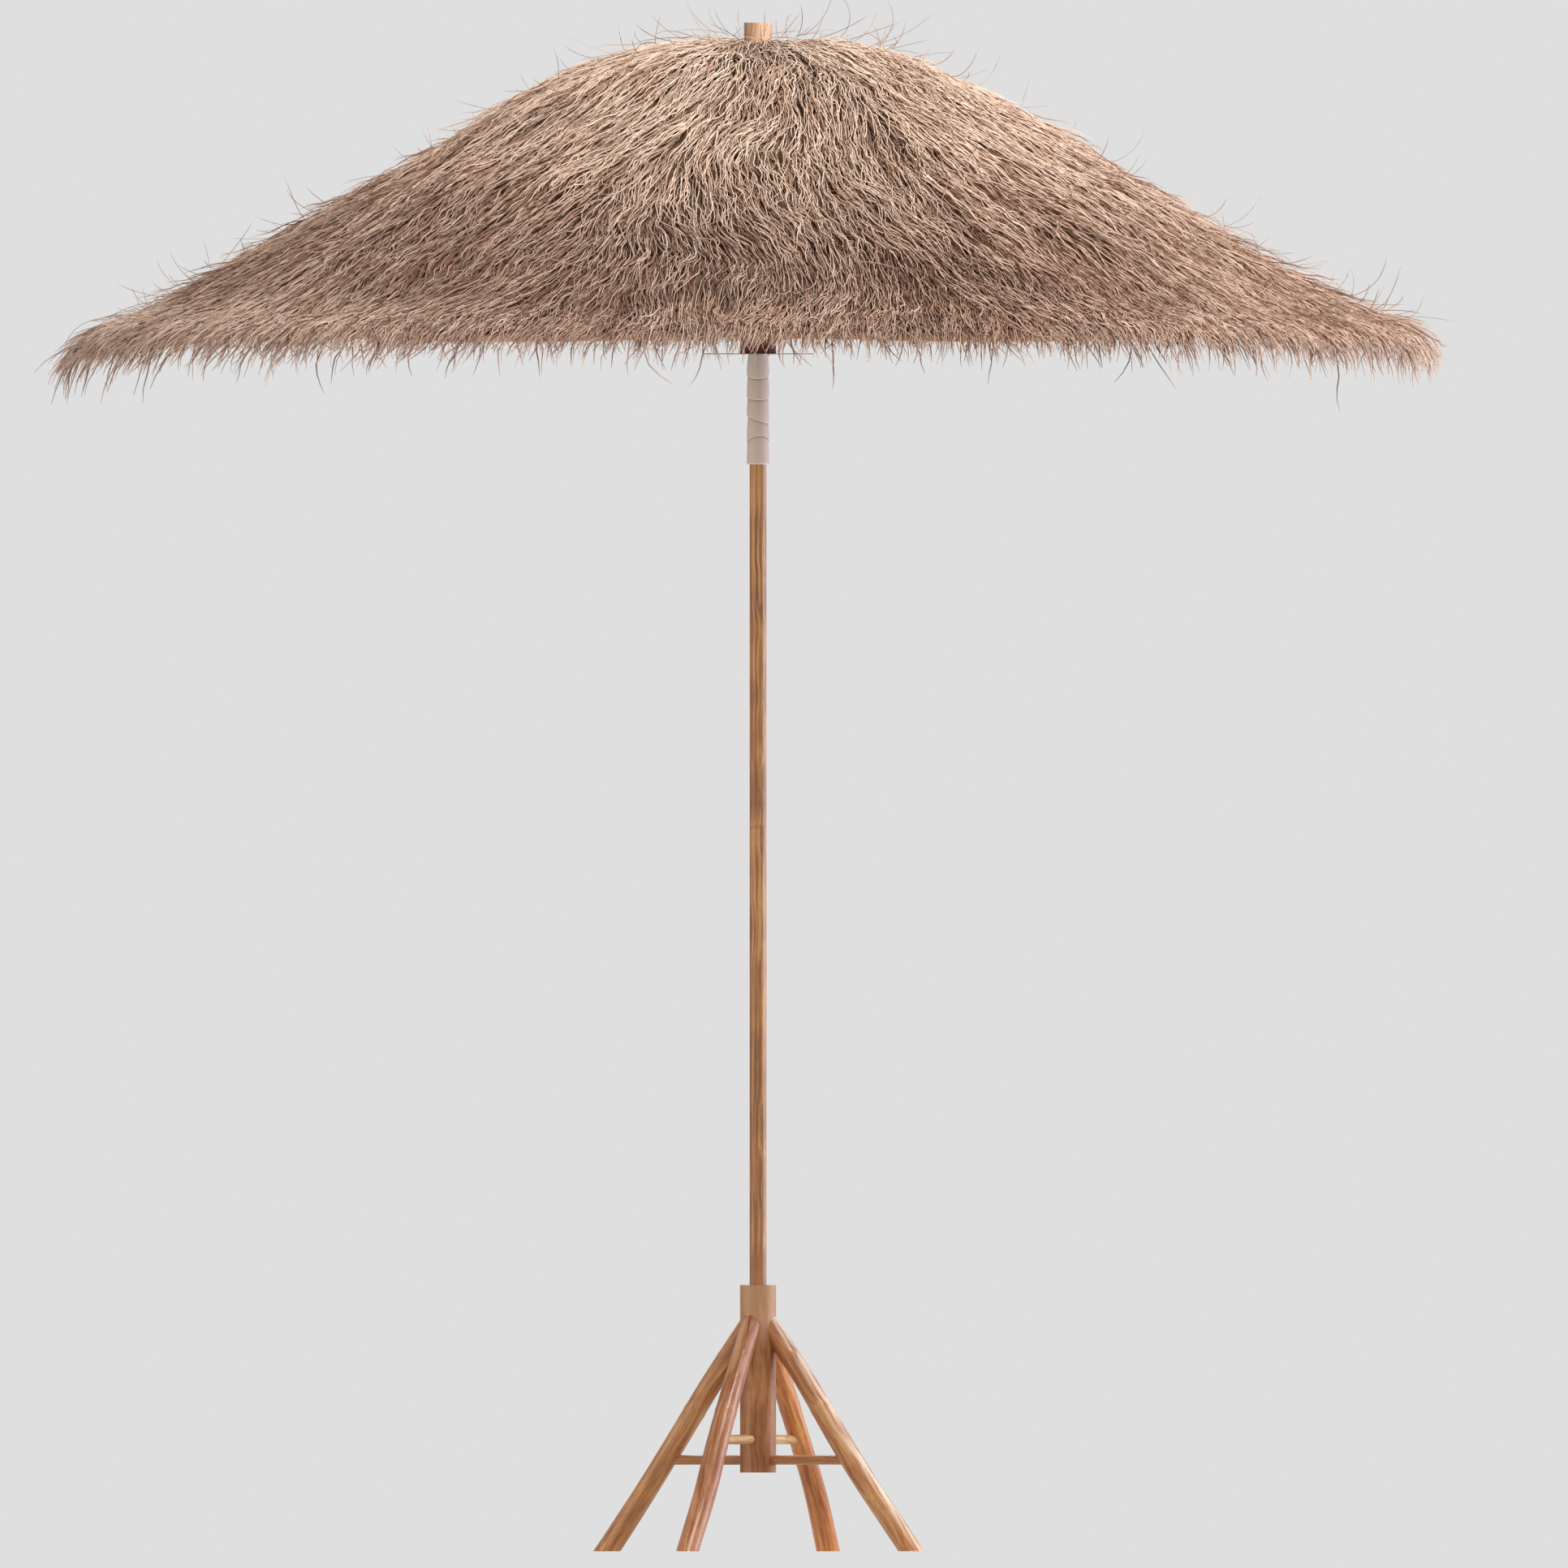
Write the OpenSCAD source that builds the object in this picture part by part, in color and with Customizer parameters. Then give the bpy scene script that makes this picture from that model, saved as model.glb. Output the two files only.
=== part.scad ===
// Thatched beach umbrella on a four-legged wooden stand.
// A two-piece pole drops into the stand. A runner slides down the upper half of the pole
// and folds eight ribs, each with its own sector of cloth and thatch.
// Millimetres, +Z up. The origin is on the ground, on the axis of the pole.

/* [Stand] */
// Diameter of the post that holds the pole
post_d = 60; // [54:1:66]
// Height of the underside of the post
post_bottom_z = 131; // [110:1:140]
// Height of the top of the post
post_top_z = 443; // [430:1:480]
// Height of the floor of the socket in the post
socket_floor_z = 205; // [200:1:230]
// Diameter of a leg
leg_d = 35; // [30:1:38]
// Direction of the first leg, in degrees round from +X
leg_turn = -25.2; // [-45:0.1:45]
// Diameter of a cross bar
bar_d = 16; // [12:1:18]
// Height of the upper cross bar
upper_bar_z = 186; // [182:1:188]
// Height of the lower cross bar
lower_bar_z = 152; // [145:1:160]

/* [Pole] */
// Diameter of the pole
pole_d = 28; // [26:1:30]
// Height of the middle of the collar where the two halves of the pole meet
pole_joint_z = 1203; // [1150:1:1204]
// Height of the collar
collar_h = 9.5; // [6:0.5:10]
// Diameter of the spigot that joins the halves
spigot_d = 16; // [12:1:18]
// How far the spigot reaches into each half
spigot_reach = 80; // [50:1:100]
// Height of the top of the pole, inside the finial
pole_top_z = 2520; // [2510:1:2530]
// Diameter of the finial
finial_d = 47; // [44:1:48]
// Height of the top of the finial
finial_top_z = 2543; // [2538:1:2550]

/* [Frame] */
// Height of the rib hinges
crown_z = 2468; // [2466:1:2470]
// Height of the stretcher hinges with the canopy open
runner_z = 2052; // [2050:1:2054]
// Distance of every hinge from the axis of the pole
hinge_r = 30; // [30:0.5:32]
// Angle of a rib below the horizontal with the canopy open
rib_slope = 23.4; // [23:0.1:24]
// Distance of the tip of a rib from the axis of the pole
rib_tip_r = 1072; // [1060:1:1076]
// Width of a rib, across its slot
rib_w = 9; // [8:0.5:9]
// Height of a rib
rib_h = 16; // [14:1:16]
// Width of a stretcher, across its slot
stretcher_w = 10; // [9:0.5:10]
// Height of a stretcher
stretcher_h = 12; // [10:1:12]
// Diameter of a hinge pin
pin_d = 4; // [3:0.5:4.5]

/* [Runner] */
// Diameter of the visible part of the runner's hub
hub_d = 60; // [58:1:62]
// Height of the underside of the hub
hub_bottom_z = 1992.7; // [1992.5:0.1:1993]
// Diameter of the thin plate under the hub
plate_d = 184; // [150:1:190]
// Thickness of the plate
plate_t = 1.4; // [1:0.1:1.6]
// Length of the white wrapped grip under the plate
grip_length = 183; // [160:1:184]
// Diameter of the grip
grip_d = 37; // [35:0.5:40]

/* [Canopy] */
// Thickness of the cloth
cloth_t = 1.5; // [1:0.1:2]
// Thickness of the shell that stands for the layers of thatch
thatch_t = 4; // [3:0.5:6]
// Radius of the tips of the fringe
fringe_r = 1140; // [1130:1:1150]
// Height of the tips of the fringe
fringe_z = 1986; // [1980:1:2000]

/* [Hidden] */
$fn = 64;
ribs = 8;
legs = 4;
fit_gap = 0.06;      // radial gap of a sliding or turning fit
pin_gap = 0.05;      // radial gap of a pin in a moving part
glue_gap = 0.02;     // radial gap of a pin in the part that holds it
face_gap = 0.2;      // gap between flat faces of pieces that move apart
through = 1;         // how far a cutter passes a face
pole_r = pole_d / 2;
post_r = post_d / 2;
rib_step = 360 / ribs;
leg_step = 360 / legs;

// A leg's centreline, as distance from the axis of the pole and height, with its gentle bends
leg_path = [[0, 400], [191, 135], [244, 50], [279, 0], [300, -30]];
bend_swell = 0.6;

// The hinges of ribs and stretchers are on one circle, so both fold through the same angle
hinge_drop = crown_z - runner_z;
stretcher_length = hinge_drop / (2 * sin(rib_slope));
rib_length = (rib_tip_r - hinge_r) / cos(rib_slope);
collar_bottom_z = pole_joint_z - collar_h / 2;
collar_top_z = pole_joint_z + collar_h / 2;
flange_r = 42;
flange_h = 28;
slot_w = 10.4;
slot_floor_r = 21.5;
pin_length = 20;
fork_w = 18;
fork_gap = 10;
fork_h = 14;
fork_length = 100;
fork_slot = 85;
grip_top_z = hub_bottom_z - plate_t - 0.1;
grip_bottom_z = grip_top_z - grip_length;
sleeve_r = 15.5;
lock_z = 2011;
lock_stem_r = 3;
lock_tip_r = 14.4;
lock_knob_y = 34;
lock_knob_h = 10;
lock_knob_r = 9;

// Outline of the cloth's underside and of the thatch, as distance from the axis and height
apex_r = 25;
cloth_lift = 1.2;
seam_gap = 0.12;
function rib_top(r) = crown_z + rib_h / 2 / cos(rib_slope) - (r - hinge_r) * tan(rib_slope);
cloth_line = [
    [apex_r, 2487], [46, 2487], [200, rib_top(200) + cloth_lift],
    [rib_tip_r + 4, rib_top(rib_tip_r + 4) + cloth_lift]
];
thatch_line = [[apex_r, 2519], [150, 2513], [285, 2478], [1090, 2030], [fringe_r, fringe_z]];

// A straight rod between two points given as distance from the axis and height
module rod(from, to, d) {
    run = to - from;
    translate([from[0], 0, from[1]])
        rotate([0, atan2(run[0], run[1]), 0])
            cylinder(h = norm(run), d = d);
}

// A bar through the axis at a height, in the direction of a leg
module bar_blank(turn, z, half, d) {
    rotate([0, 0, turn]) translate([-half, 0, z]) rotate([0, 90, 0]) cylinder(h = 2 * half, d = d);
}

// Distance of a leg's centreline from the axis at a height above its first bend
function leg_r(z) = leg_path[1][0] * (leg_path[0][1] - z) / (leg_path[0][1] - leg_path[1][1]);

module around(i) {
    rotate([0, 0, (i - 1) * rib_step]) children();
}

module stand_post() {
    color("burlywood") difference() {
        translate([0, 0, post_bottom_z]) cylinder(h = post_top_z - post_bottom_z, r = post_r);
        translate([0, 0, socket_floor_z])
            cylinder(h = post_top_z - socket_floor_z + through, r = pole_r + fit_gap);
        bar_blank(leg_turn + leg_step, upper_bar_z, post_r + through, bar_d + 2 * glue_gap);
        bar_blank(leg_turn, lower_bar_z, post_r + through, bar_d + 2 * glue_gap);
    }
}

// The legs alternate between the two cross bars
function leg_bar_z(i) = i % 2 == 1 ? lower_bar_z : upper_bar_z;

module leg(i) {
    color("peru") difference() {
        rotate([0, 0, leg_turn + (i - 1) * leg_step]) difference() {
            union() {
                for (k = [1:len(leg_path) - 1]) rod(leg_path[k - 1], leg_path[k], leg_d);
                for (k = [1:len(leg_path) - 2])
                    translate([leg_path[k][0], 0, leg_path[k][1]]) sphere(d = leg_d + bend_swell);
            }
            translate([0, -leg_d, -4 * leg_d]) cube([400, 2 * leg_d, 4 * leg_d]);
            bar_blank(0, leg_bar_z(i), leg_r(leg_bar_z(i)) + face_gap, bar_d + 2 * glue_gap);
        }
        cylinder(h = post_top_z, r = post_r);
        translate([-leg_d, -leg_d, leg_path[0][1] - leg_d]) cube(2 * leg_d);
    }
}

module cross_bar(turn, z) {
    color("wheat") bar_blank(turn, z, leg_r(z), bar_d);
}

module lower_pole() {
    bottom = socket_floor_z + face_gap;
    color("sandybrown") difference() {
        translate([0, 0, bottom]) cylinder(h = collar_bottom_z - bottom, r = pole_r);
        translate([0, 0, collar_bottom_z - spigot_reach - through])
            cylinder(h = spigot_reach + 2 * through, d = spigot_d + 2 * glue_gap);
    }
}

module pole_spigot() {
    color("peru") {
        translate([0, 0, collar_bottom_z - spigot_reach])
            cylinder(h = 2 * spigot_reach + collar_h, d = spigot_d);
        translate([0, 0, collar_bottom_z]) cylinder(h = collar_h, r = pole_r);
    }
}

module upper_pole() {
    bottom = collar_top_z + face_gap;
    color("sandybrown") difference() {
        translate([0, 0, bottom]) cylinder(h = pole_top_z - bottom, r = pole_r);
        translate([0, 0, bottom - through])
            cylinder(h = spigot_reach + 2 * through, d = spigot_d + 2 * fit_gap);
    }
}

// A flange with a slot for each arm and a hole across each slot for its pin
module slotted_flange(hinge_z, slot_bottom) {
    difference() {
        translate([0, 0, hinge_z - flange_h / 2]) cylinder(h = flange_h, r = flange_r);
        for (i = [1:ribs]) around(i) {
            translate([slot_floor_r, -slot_w / 2, slot_bottom])
                cube([flange_r, slot_w, flange_h + through]);
            translate([hinge_r, -pin_length / 2, hinge_z])
                rotate([-90, 0, 0]) cylinder(h = pin_length, d = pin_d + 2 * glue_gap);
        }
    }
}

module hinge_pins(hinge_z) {
    for (i = [1:ribs]) around(i)
        translate([hinge_r, -pin_length / 2, hinge_z])
            rotate([-90, 0, 0]) cylinder(h = pin_length, d = pin_d);
}

module crown_hub() {
    color("saddlebrown") difference() {
        slotted_flange(crown_z, crown_z - flange_h / 2 - through);
        translate([0, 0, crown_z - flange_h]) cylinder(h = 2 * flange_h, r = pole_r + glue_gap);
    }
}

module crown_pins() {
    color("gray") hinge_pins(crown_z);
}

module finial() {
    bottom = crown_z + flange_h / 2 + face_gap;
    color("burlywood") difference() {
        translate([0, 0, bottom]) cylinder(h = finial_top_z - bottom, d = finial_d);
        translate([0, 0, bottom - through])
            cylinder(h = pole_top_z - bottom + through + face_gap, r = pole_r + glue_gap);
    }
}

module runner_hub() {
    flange_bottom = runner_z - flange_h / 2;
    color("maroon") difference() {
        union() {
            translate([0, 0, hub_bottom_z]) cylinder(h = flange_bottom - hub_bottom_z, d = hub_d);
            slotted_flange(runner_z, runner_z - stretcher_h / 2 - 2);
        }
        translate([0, 0, hub_bottom_z - through])
            cylinder(h = 2 * flange_r + through, r = sleeve_r + glue_gap);
        lock_hole();
    }
}

module lock_hole() {
    translate([0, 0, lock_z]) rotate([-90, 0, 0])
        cylinder(h = hub_d, r = lock_stem_r + fit_gap);
}

module runner_sleeve() {
    color("gray") difference() {
        translate([0, 0, grip_bottom_z])
            cylinder(h = runner_z + flange_h / 2 - grip_bottom_z, r = sleeve_r);
        translate([0, 0, grip_bottom_z - through])
            cylinder(h = hub_d + flange_h + grip_length + 2 * through, r = pole_r + fit_gap);
        lock_hole();
    }
}

module runner_plate() {
    color("silver") translate([0, 0, hub_bottom_z - plate_t]) difference() {
        cylinder(h = plate_t, d = plate_d);
        translate([0, 0, -through]) cylinder(h = plate_t + 2 * through, r = sleeve_r + glue_gap);
    }
}

module runner_pins() {
    color("gray") hinge_pins(runner_z);
}

// The wrap is a strip wound in five turns, kept here as a plain tube
module grip_wrap() {
    color("whitesmoke") translate([0, 0, grip_bottom_z]) difference() {
        cylinder(h = grip_length, d = grip_d);
        translate([0, 0, -through])
            cylinder(h = grip_length + 2 * through, r = sleeve_r + glue_gap);
    }
}

module lock_screw() {
    color("goldenrod") translate([0, lock_tip_r, lock_z]) rotate([-90, 0, 0])
        cylinder(h = lock_knob_y - lock_tip_r + lock_knob_h / 2, r = lock_stem_r);
}

module lock_knob() {
    color("saddlebrown") translate([0, lock_knob_y, lock_z]) rotate([-90, 0, 0]) difference() {
        cylinder(h = lock_knob_h, r = lock_knob_r);
        translate([0, 0, -through])
            cylinder(h = lock_knob_h / 2 + through, r = lock_stem_r + glue_gap);
        for (k = [0:5]) rotate([0, 0, k * 60]) translate([lock_knob_r + 1.2, 0, -through])
            cylinder(h = lock_knob_h + 2 * through, r = 2.4);
    }
}

// Puts an arm drawn along +X from its hinge into place, sloping down by an angle
module arm_place(i, hinge_z, slope) {
    around(i) translate([hinge_r, 0, hinge_z]) rotate([0, slope, 0]) children();
}

module cross_pin(x, d, length) {
    translate([x, -length / 2, 0]) rotate([-90, 0, 0]) cylinder(h = length, d = d);
}

module rib(i) {
    color("peru") arm_place(i, crown_z, rib_slope) difference() {
        union() {
            translate([0, -rib_w / 2, -rib_h / 2]) cube([rib_length, rib_w, rib_h]);
            cross_pin(0, rib_h - 1, rib_w);
        }
        cross_pin(0, pin_d + 2 * pin_gap, rib_w + 2 * through);
        cross_pin(stretcher_length, pin_d + 2 * glue_gap, rib_w + 2 * through);
    }
}

module rib_pin(i) {
    color("gray") arm_place(i, crown_z, rib_slope) cross_pin(stretcher_length, pin_d, rib_w);
}

module stretcher(i) {
    fork_x = stretcher_length - fork_length;
    color("chocolate") arm_place(i, runner_z, -rib_slope) difference() {
        union() {
            translate([0, -stretcher_w / 2, -stretcher_h / 2])
                cube([fork_x + through, stretcher_w, stretcher_h]);
            cross_pin(0, stretcher_h - 1, stretcher_w);
            translate([fork_x, -fork_w / 2, -fork_h / 2]) cube([fork_length, fork_w, fork_h]);
            cross_pin(stretcher_length, fork_h - 1, fork_w);
        }
        translate([stretcher_length - fork_slot, -fork_gap / 2, -fork_h])
            cube([fork_slot + fork_h, fork_gap, 2 * fork_h]);
        cross_pin(0, pin_d + 2 * pin_gap, stretcher_w + 2 * through);
        cross_pin(stretcher_length, pin_d + 2 * pin_gap, fork_w + 2 * through);
    }
}

// One rib's share of a surface of revolution, from an outline and its thickness
module sector(i, line, thickness) {
    last = len(line) - 1;
    function across(v) = [-v[1], v[0]] / norm(v);
    function outward(k) = across(line[min(k + 1, last)] - line[max(k - 1, 0)]);
    around(i) rotate([0, 0, -(rib_step - seam_gap) / 2])
        rotate_extrude(angle = rib_step - seam_gap, $fn = 256)
            polygon(concat(line, [for (k = [last:-1:0]) line[k] + thickness * outward(k)]));
}

module gore(i) {
    color("tan") sector(i, cloth_line, cloth_t);
}

module thatch(i) {
    color("rosybrown") sector(i, thatch_line, -thatch_t);
}

stand_post();
for (i = [1:legs]) leg(i);
cross_bar(leg_turn + leg_step, upper_bar_z);  // cross_bar_upper
cross_bar(leg_turn, lower_bar_z);  // cross_bar_lower
lower_pole();
pole_spigot();
upper_pole();
crown_hub();
crown_pins();
finial();
runner_hub();
runner_plate();
runner_sleeve();
runner_pins();
grip_wrap();
lock_screw();
lock_knob();
for (i = [1:ribs]) rib(i);
for (i = [1:ribs]) rib_pin(i);
for (i = [1:ribs]) stretcher(i);
for (i = [1:ribs]) gore(i);
for (i = [1:ribs]) thatch(i);
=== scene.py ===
import math

import bpy
import numpy as np
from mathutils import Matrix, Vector


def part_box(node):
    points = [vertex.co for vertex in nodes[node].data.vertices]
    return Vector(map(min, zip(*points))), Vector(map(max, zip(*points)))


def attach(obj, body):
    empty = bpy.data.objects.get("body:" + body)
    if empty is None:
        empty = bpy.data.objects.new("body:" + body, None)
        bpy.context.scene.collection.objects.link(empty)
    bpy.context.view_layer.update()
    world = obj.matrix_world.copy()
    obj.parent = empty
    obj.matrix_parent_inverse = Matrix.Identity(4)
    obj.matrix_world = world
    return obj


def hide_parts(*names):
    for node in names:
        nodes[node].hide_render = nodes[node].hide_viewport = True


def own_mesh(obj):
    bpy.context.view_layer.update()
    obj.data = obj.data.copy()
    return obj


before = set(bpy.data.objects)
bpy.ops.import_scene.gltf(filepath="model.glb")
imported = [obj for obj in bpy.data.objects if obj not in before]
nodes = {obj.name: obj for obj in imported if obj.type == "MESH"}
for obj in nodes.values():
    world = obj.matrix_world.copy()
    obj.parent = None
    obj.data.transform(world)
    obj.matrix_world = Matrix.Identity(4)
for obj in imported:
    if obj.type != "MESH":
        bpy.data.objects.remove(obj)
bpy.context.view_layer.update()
ribCount = 8
ribStep = 2 * math.pi / ribCount


# camera, lights and floor

cameraSet = {"x": 0.0432, "y": -9.0, "z": 1.2764, "width": 2.6082, "far": 60}
studioSet = {
    "backdrop": 0.737,
    "ambient": 0.30,
    "floorGlow": 0.56,
    "floorTone": 0.52,
    "floorHalf": 14.0,
}
# each panel: place, height that it aims at on the pole, width and height, power, tint
panelSet = {
    "softbox": {"at": (2.7, 0.55, 1.75), "aim": 1.35, "size": (5, 3.6), "power": 94, "tint": (0.98, 0.98, 1)},
    "overhead": {"at": (1.6, -2.4, 5.2), "aim": 2.2, "size": (1.2, 1.2), "power": 220, "tint": (1, 1, 1)},
    "left": {"at": (-3.4, -1.4, 1.0), "aim": 1.2, "size": (3.0, 2.6), "power": 54, "tint": (1, 0.97, 0.94)},
    "front": {"at": (0.6, -4.6, 2.0), "aim": 1.5, "size": (3.0, 3.0), "power": 46, "tint": (1, 0.98, 0.96)},
    "rim": {"at": (3.8, 0.5, 1.3), "aim": 1.4, "size": (1.2, 2.4), "power": 62, "tint": (0.72, 0.76, 1.0)},
    "back": {"at": (-1.8, 4.2, 4.6), "aim": 2.0, "size": (2.6, 2.6), "power": 190, "tint": (1, 1, 1)},
}


def addCamera(s):
    data = bpy.data.cameras.new("camera")
    data.type = "ORTHO"
    data.ortho_scale = s["width"]
    data.clip_end = s["far"]
    camera = bpy.data.objects.new("camera", data)
    camera.location = (s["x"], s["y"], s["z"])
    camera.rotation_euler = (math.pi / 2, 0, 0)
    bpy.context.scene.collection.objects.link(camera)
    bpy.context.scene.camera = camera


def addPanel(name, s):
    data = bpy.data.lights.new(name, "AREA")
    data.shape = "RECTANGLE"
    data.size, data.size_y = s["size"]
    data.energy = s["power"]
    data.color = s["tint"]
    panel = bpy.data.objects.new(name, data)
    panel.location = s["at"]
    toward = Vector((0, 0, s["aim"])) - Vector(s["at"])
    panel.rotation_euler = toward.to_track_quat("-Z", "Y").to_euler()
    panel.visible_camera = False
    bpy.context.scene.collection.objects.link(panel)
    return panel


def addWorld(s):
    world = bpy.data.worlds.new("studio")
    bpy.context.scene.world = world
    world.use_nodes = True
    tree = world.node_tree
    tree.nodes.clear()
    seen = addNode(tree, "ShaderNodeLightPath").outputs["Is Camera Ray"]
    level = addNode(tree, "ShaderNodeMix", {0: seen, 2: s["ambient"], 3: s["backdrop"]}).outputs[0]
    light = addNode(tree, "ShaderNodeBackground", {"Color": (1, 1, 1, 1), "Strength": level})
    addNode(tree, "ShaderNodeOutputWorld", {"Surface": light.outputs[0]})


def addFloor(s, panels):
    half = s["floorHalf"]
    corners = [(-half, -half, 0), (half, -half, 0), (half, half, 0), (-half, half, 0)]
    mesh = bpy.data.meshes.new("floor")
    mesh.from_pydata(corners, [], [(0, 1, 2, 3)])
    floor = bpy.data.objects.new("floor", mesh)
    bpy.context.scene.collection.objects.link(floor)
    paper = newMaterial("floorPaper")
    tone, glow = s["floorTone"], s["floorGlow"]
    sockets = {"Base Color": (tone, tone, tone, 1), "Roughness": 0.95, "Specular IOR Level": 0.1,
               "Emission Color": (1, 1, 1, 1), "Emission Strength": glow}
    finishSurface(paper, sockets)
    mesh.materials.append(paper["material"])
    # the paper glows evenly and takes only the room's light, so no panel draws an edge on it
    unlit = bpy.data.collections.new("unlitFloor")
    unlit.objects.link(floor)
    unlit.collection_objects[0].light_linking.link_state = "EXCLUDE"
    for panel in panels:
        panel.light_linking.receiver_collection = unlit


# node helpers

def addNode(tree, kind, inputs=None, **settings):
    tree = tree["tree"] if isinstance(tree, dict) else tree
    made = tree.nodes.new(kind)
    for key, value in settings.items():
        setattr(made, key, value)
    for key, value in (inputs or {}).items():
        socket = made.inputs[key]
        if isinstance(value, bpy.types.NodeSocket):
            tree.links.new(value, socket)
        else:
            socket.default_value = value
    return made


def addMath(tree, operation, *values):
    return addNode(tree, "ShaderNodeMath", dict(enumerate(values)), operation=operation).outputs[0]


def multiply(tree, first, second):
    return addMath(tree, "MULTIPLY", first, second)


def add(tree, first, second):
    return addMath(tree, "ADD", first, second)


def subtract(tree, first, second):
    return addMath(tree, "SUBTRACT", first, second)


def joinAxes(tree, x, y, z=0.0):
    return addNode(tree, "ShaderNodeCombineXYZ", {0: x, 1: y, 2: z}).outputs[0]


def splitAxes(tree, vector):
    return addNode(tree, "ShaderNodeSeparateXYZ", {0: vector}).outputs


def readAttribute(tree, name, socket="Fac"):
    return addNode(tree, "ShaderNodeAttribute", attribute_name=name).outputs[socket]


def objectPlace(tree):
    return addNode(tree, "ShaderNodeTexCoord").outputs["Object"]


def addVector(tree, operation, *values):
    return addNode(tree, "ShaderNodeVectorMath", dict(enumerate(values)), operation=operation).outputs[0]


def addNoise(tree, where, scale, detail=3.0, roughness=0.5, distortion=0.0):
    given = {"Vector": where, "Scale": scale, "Detail": detail, "Roughness": roughness}
    return addNode(tree, "ShaderNodeTexNoise", {**given, "Distortion": distortion}).outputs["Fac"]


def addRange(tree, value, low, high, newLow=0.0, newHigh=1.0):
    given = {"Value": value, "From Min": low, "From Max": high, "To Min": newLow, "To Max": newHigh}
    return addNode(tree, "ShaderNodeMapRange", given).outputs[0]


def addRamp(tree, value, stops):
    ramp = addNode(tree, "ShaderNodeValToRGB", {"Fac": value})
    elements = ramp.color_ramp.elements
    while len(elements) < len(stops):
        elements.new(0.5)
    for element, (place, colour) in zip(elements, stops):
        element.position = place
        element.color = (*colour, 1)
    return ramp.outputs["Color"]


def mixColour(tree, share, below, above, blend="MIX"):
    below, above = [(*tone, 1) if isinstance(tone, tuple) else tone for tone in (below, above)]
    given = {0: share, 6: below, 7: above}
    return addNode(tree, "ShaderNodeMix", given, data_type="RGBA", blend_type=blend).outputs[2]


def newMaterial(name):
    material = bpy.data.materials.new(name)
    material.use_nodes = True
    material.node_tree.nodes.clear()
    return {"material": material, "tree": material.node_tree}


def finishSurface(made, sockets, height=None, relief=0.0005):
    surface = addNode(made, "ShaderNodeBsdfPrincipled", sockets)
    if height is not None:
        bump = addNode(made, "ShaderNodeBump", {"Height": height, "Strength": 1.0, "Distance": relief})
        made["tree"].links.new(bump.outputs[0], surface.inputs["Normal"])
    addNode(made, "ShaderNodeOutputMaterial", {"Surface": surface.outputs[0]})
    return made["material"]


def newGroup(name, numbers, results, resultKind="NodeSocketFloat"):
    # every group takes a Vector and the named numbers, and gives the named results
    tree = bpy.data.node_groups.new(name, "ShaderNodeTree")
    tree.interface.new_socket(name="Vector", in_out="INPUT", socket_type="NodeSocketVector")
    for label, value in numbers.items():
        socket = tree.interface.new_socket(name=label, in_out="INPUT", socket_type="NodeSocketFloat")
        socket.default_value = value
    for label in results:
        tree.interface.new_socket(name=label, in_out="OUTPUT", socket_type=resultKind)
    return tree, tree.nodes.new("NodeGroupInput").outputs, tree.nodes.new("NodeGroupOutput").inputs


def groupOutputs(made, tree, inputs):
    placed = made["tree"].nodes.new("ShaderNodeGroup")
    placed.node_tree = tree
    for key, value in inputs.items():
        if isinstance(value, bpy.types.NodeSocket):
            made["tree"].links.new(value, placed.inputs[key])
        else:
            placed.inputs[key].default_value = value
    return placed.outputs


# shared patterns

def makeWoodGrain():
    numbers = {"Stretch": 26.0, "Fineness": 1.0}
    tree, given, result = newGroup("woodGrain", numbers, ("Streak", "Fibre", "Blotch", "Pores"))
    place, fineness = given["Vector"], given["Fineness"]
    squeeze = addMath(tree, "DIVIDE", 1.0, given["Stretch"])
    fine = joinAxes(tree, fineness, fineness, multiply(tree, squeeze, fineness))
    drift = addNoise(tree, place, 5.0, 2.0)
    asideX = addRange(tree, drift, 0.3, 0.7, -0.006, 0.006)
    asideY = addRange(tree, drift, 0.3, 0.7, 0.004, -0.004)
    moved = addVector(tree, "ADD", place, joinAxes(tree, asideX, asideY))
    long = addVector(tree, "MULTIPLY", moved, fine)
    streak = addNoise(tree, long, 170.0, 5.0, 0.62, 0.25)
    fibre = addNoise(tree, long, 900.0, 3.0, 0.6)
    blotch = addNoise(tree, place, 9.0, 3.0, 0.55)
    pores = addNoise(tree, addVector(tree, "MULTIPLY", long, (1.0, 1.0, 2.6)), 1500.0, 1.0, 0.4)
    tree.links.new(addRange(tree, streak, 0.3, 0.72), result["Streak"])
    tree.links.new(addRange(tree, fibre, 0.28, 0.72), result["Fibre"])
    tree.links.new(addRange(tree, blotch, 0.3, 0.7), result["Blotch"])
    tree.links.new(addRange(tree, pores, 0.62, 0.74), result["Pores"])
    return tree


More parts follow.
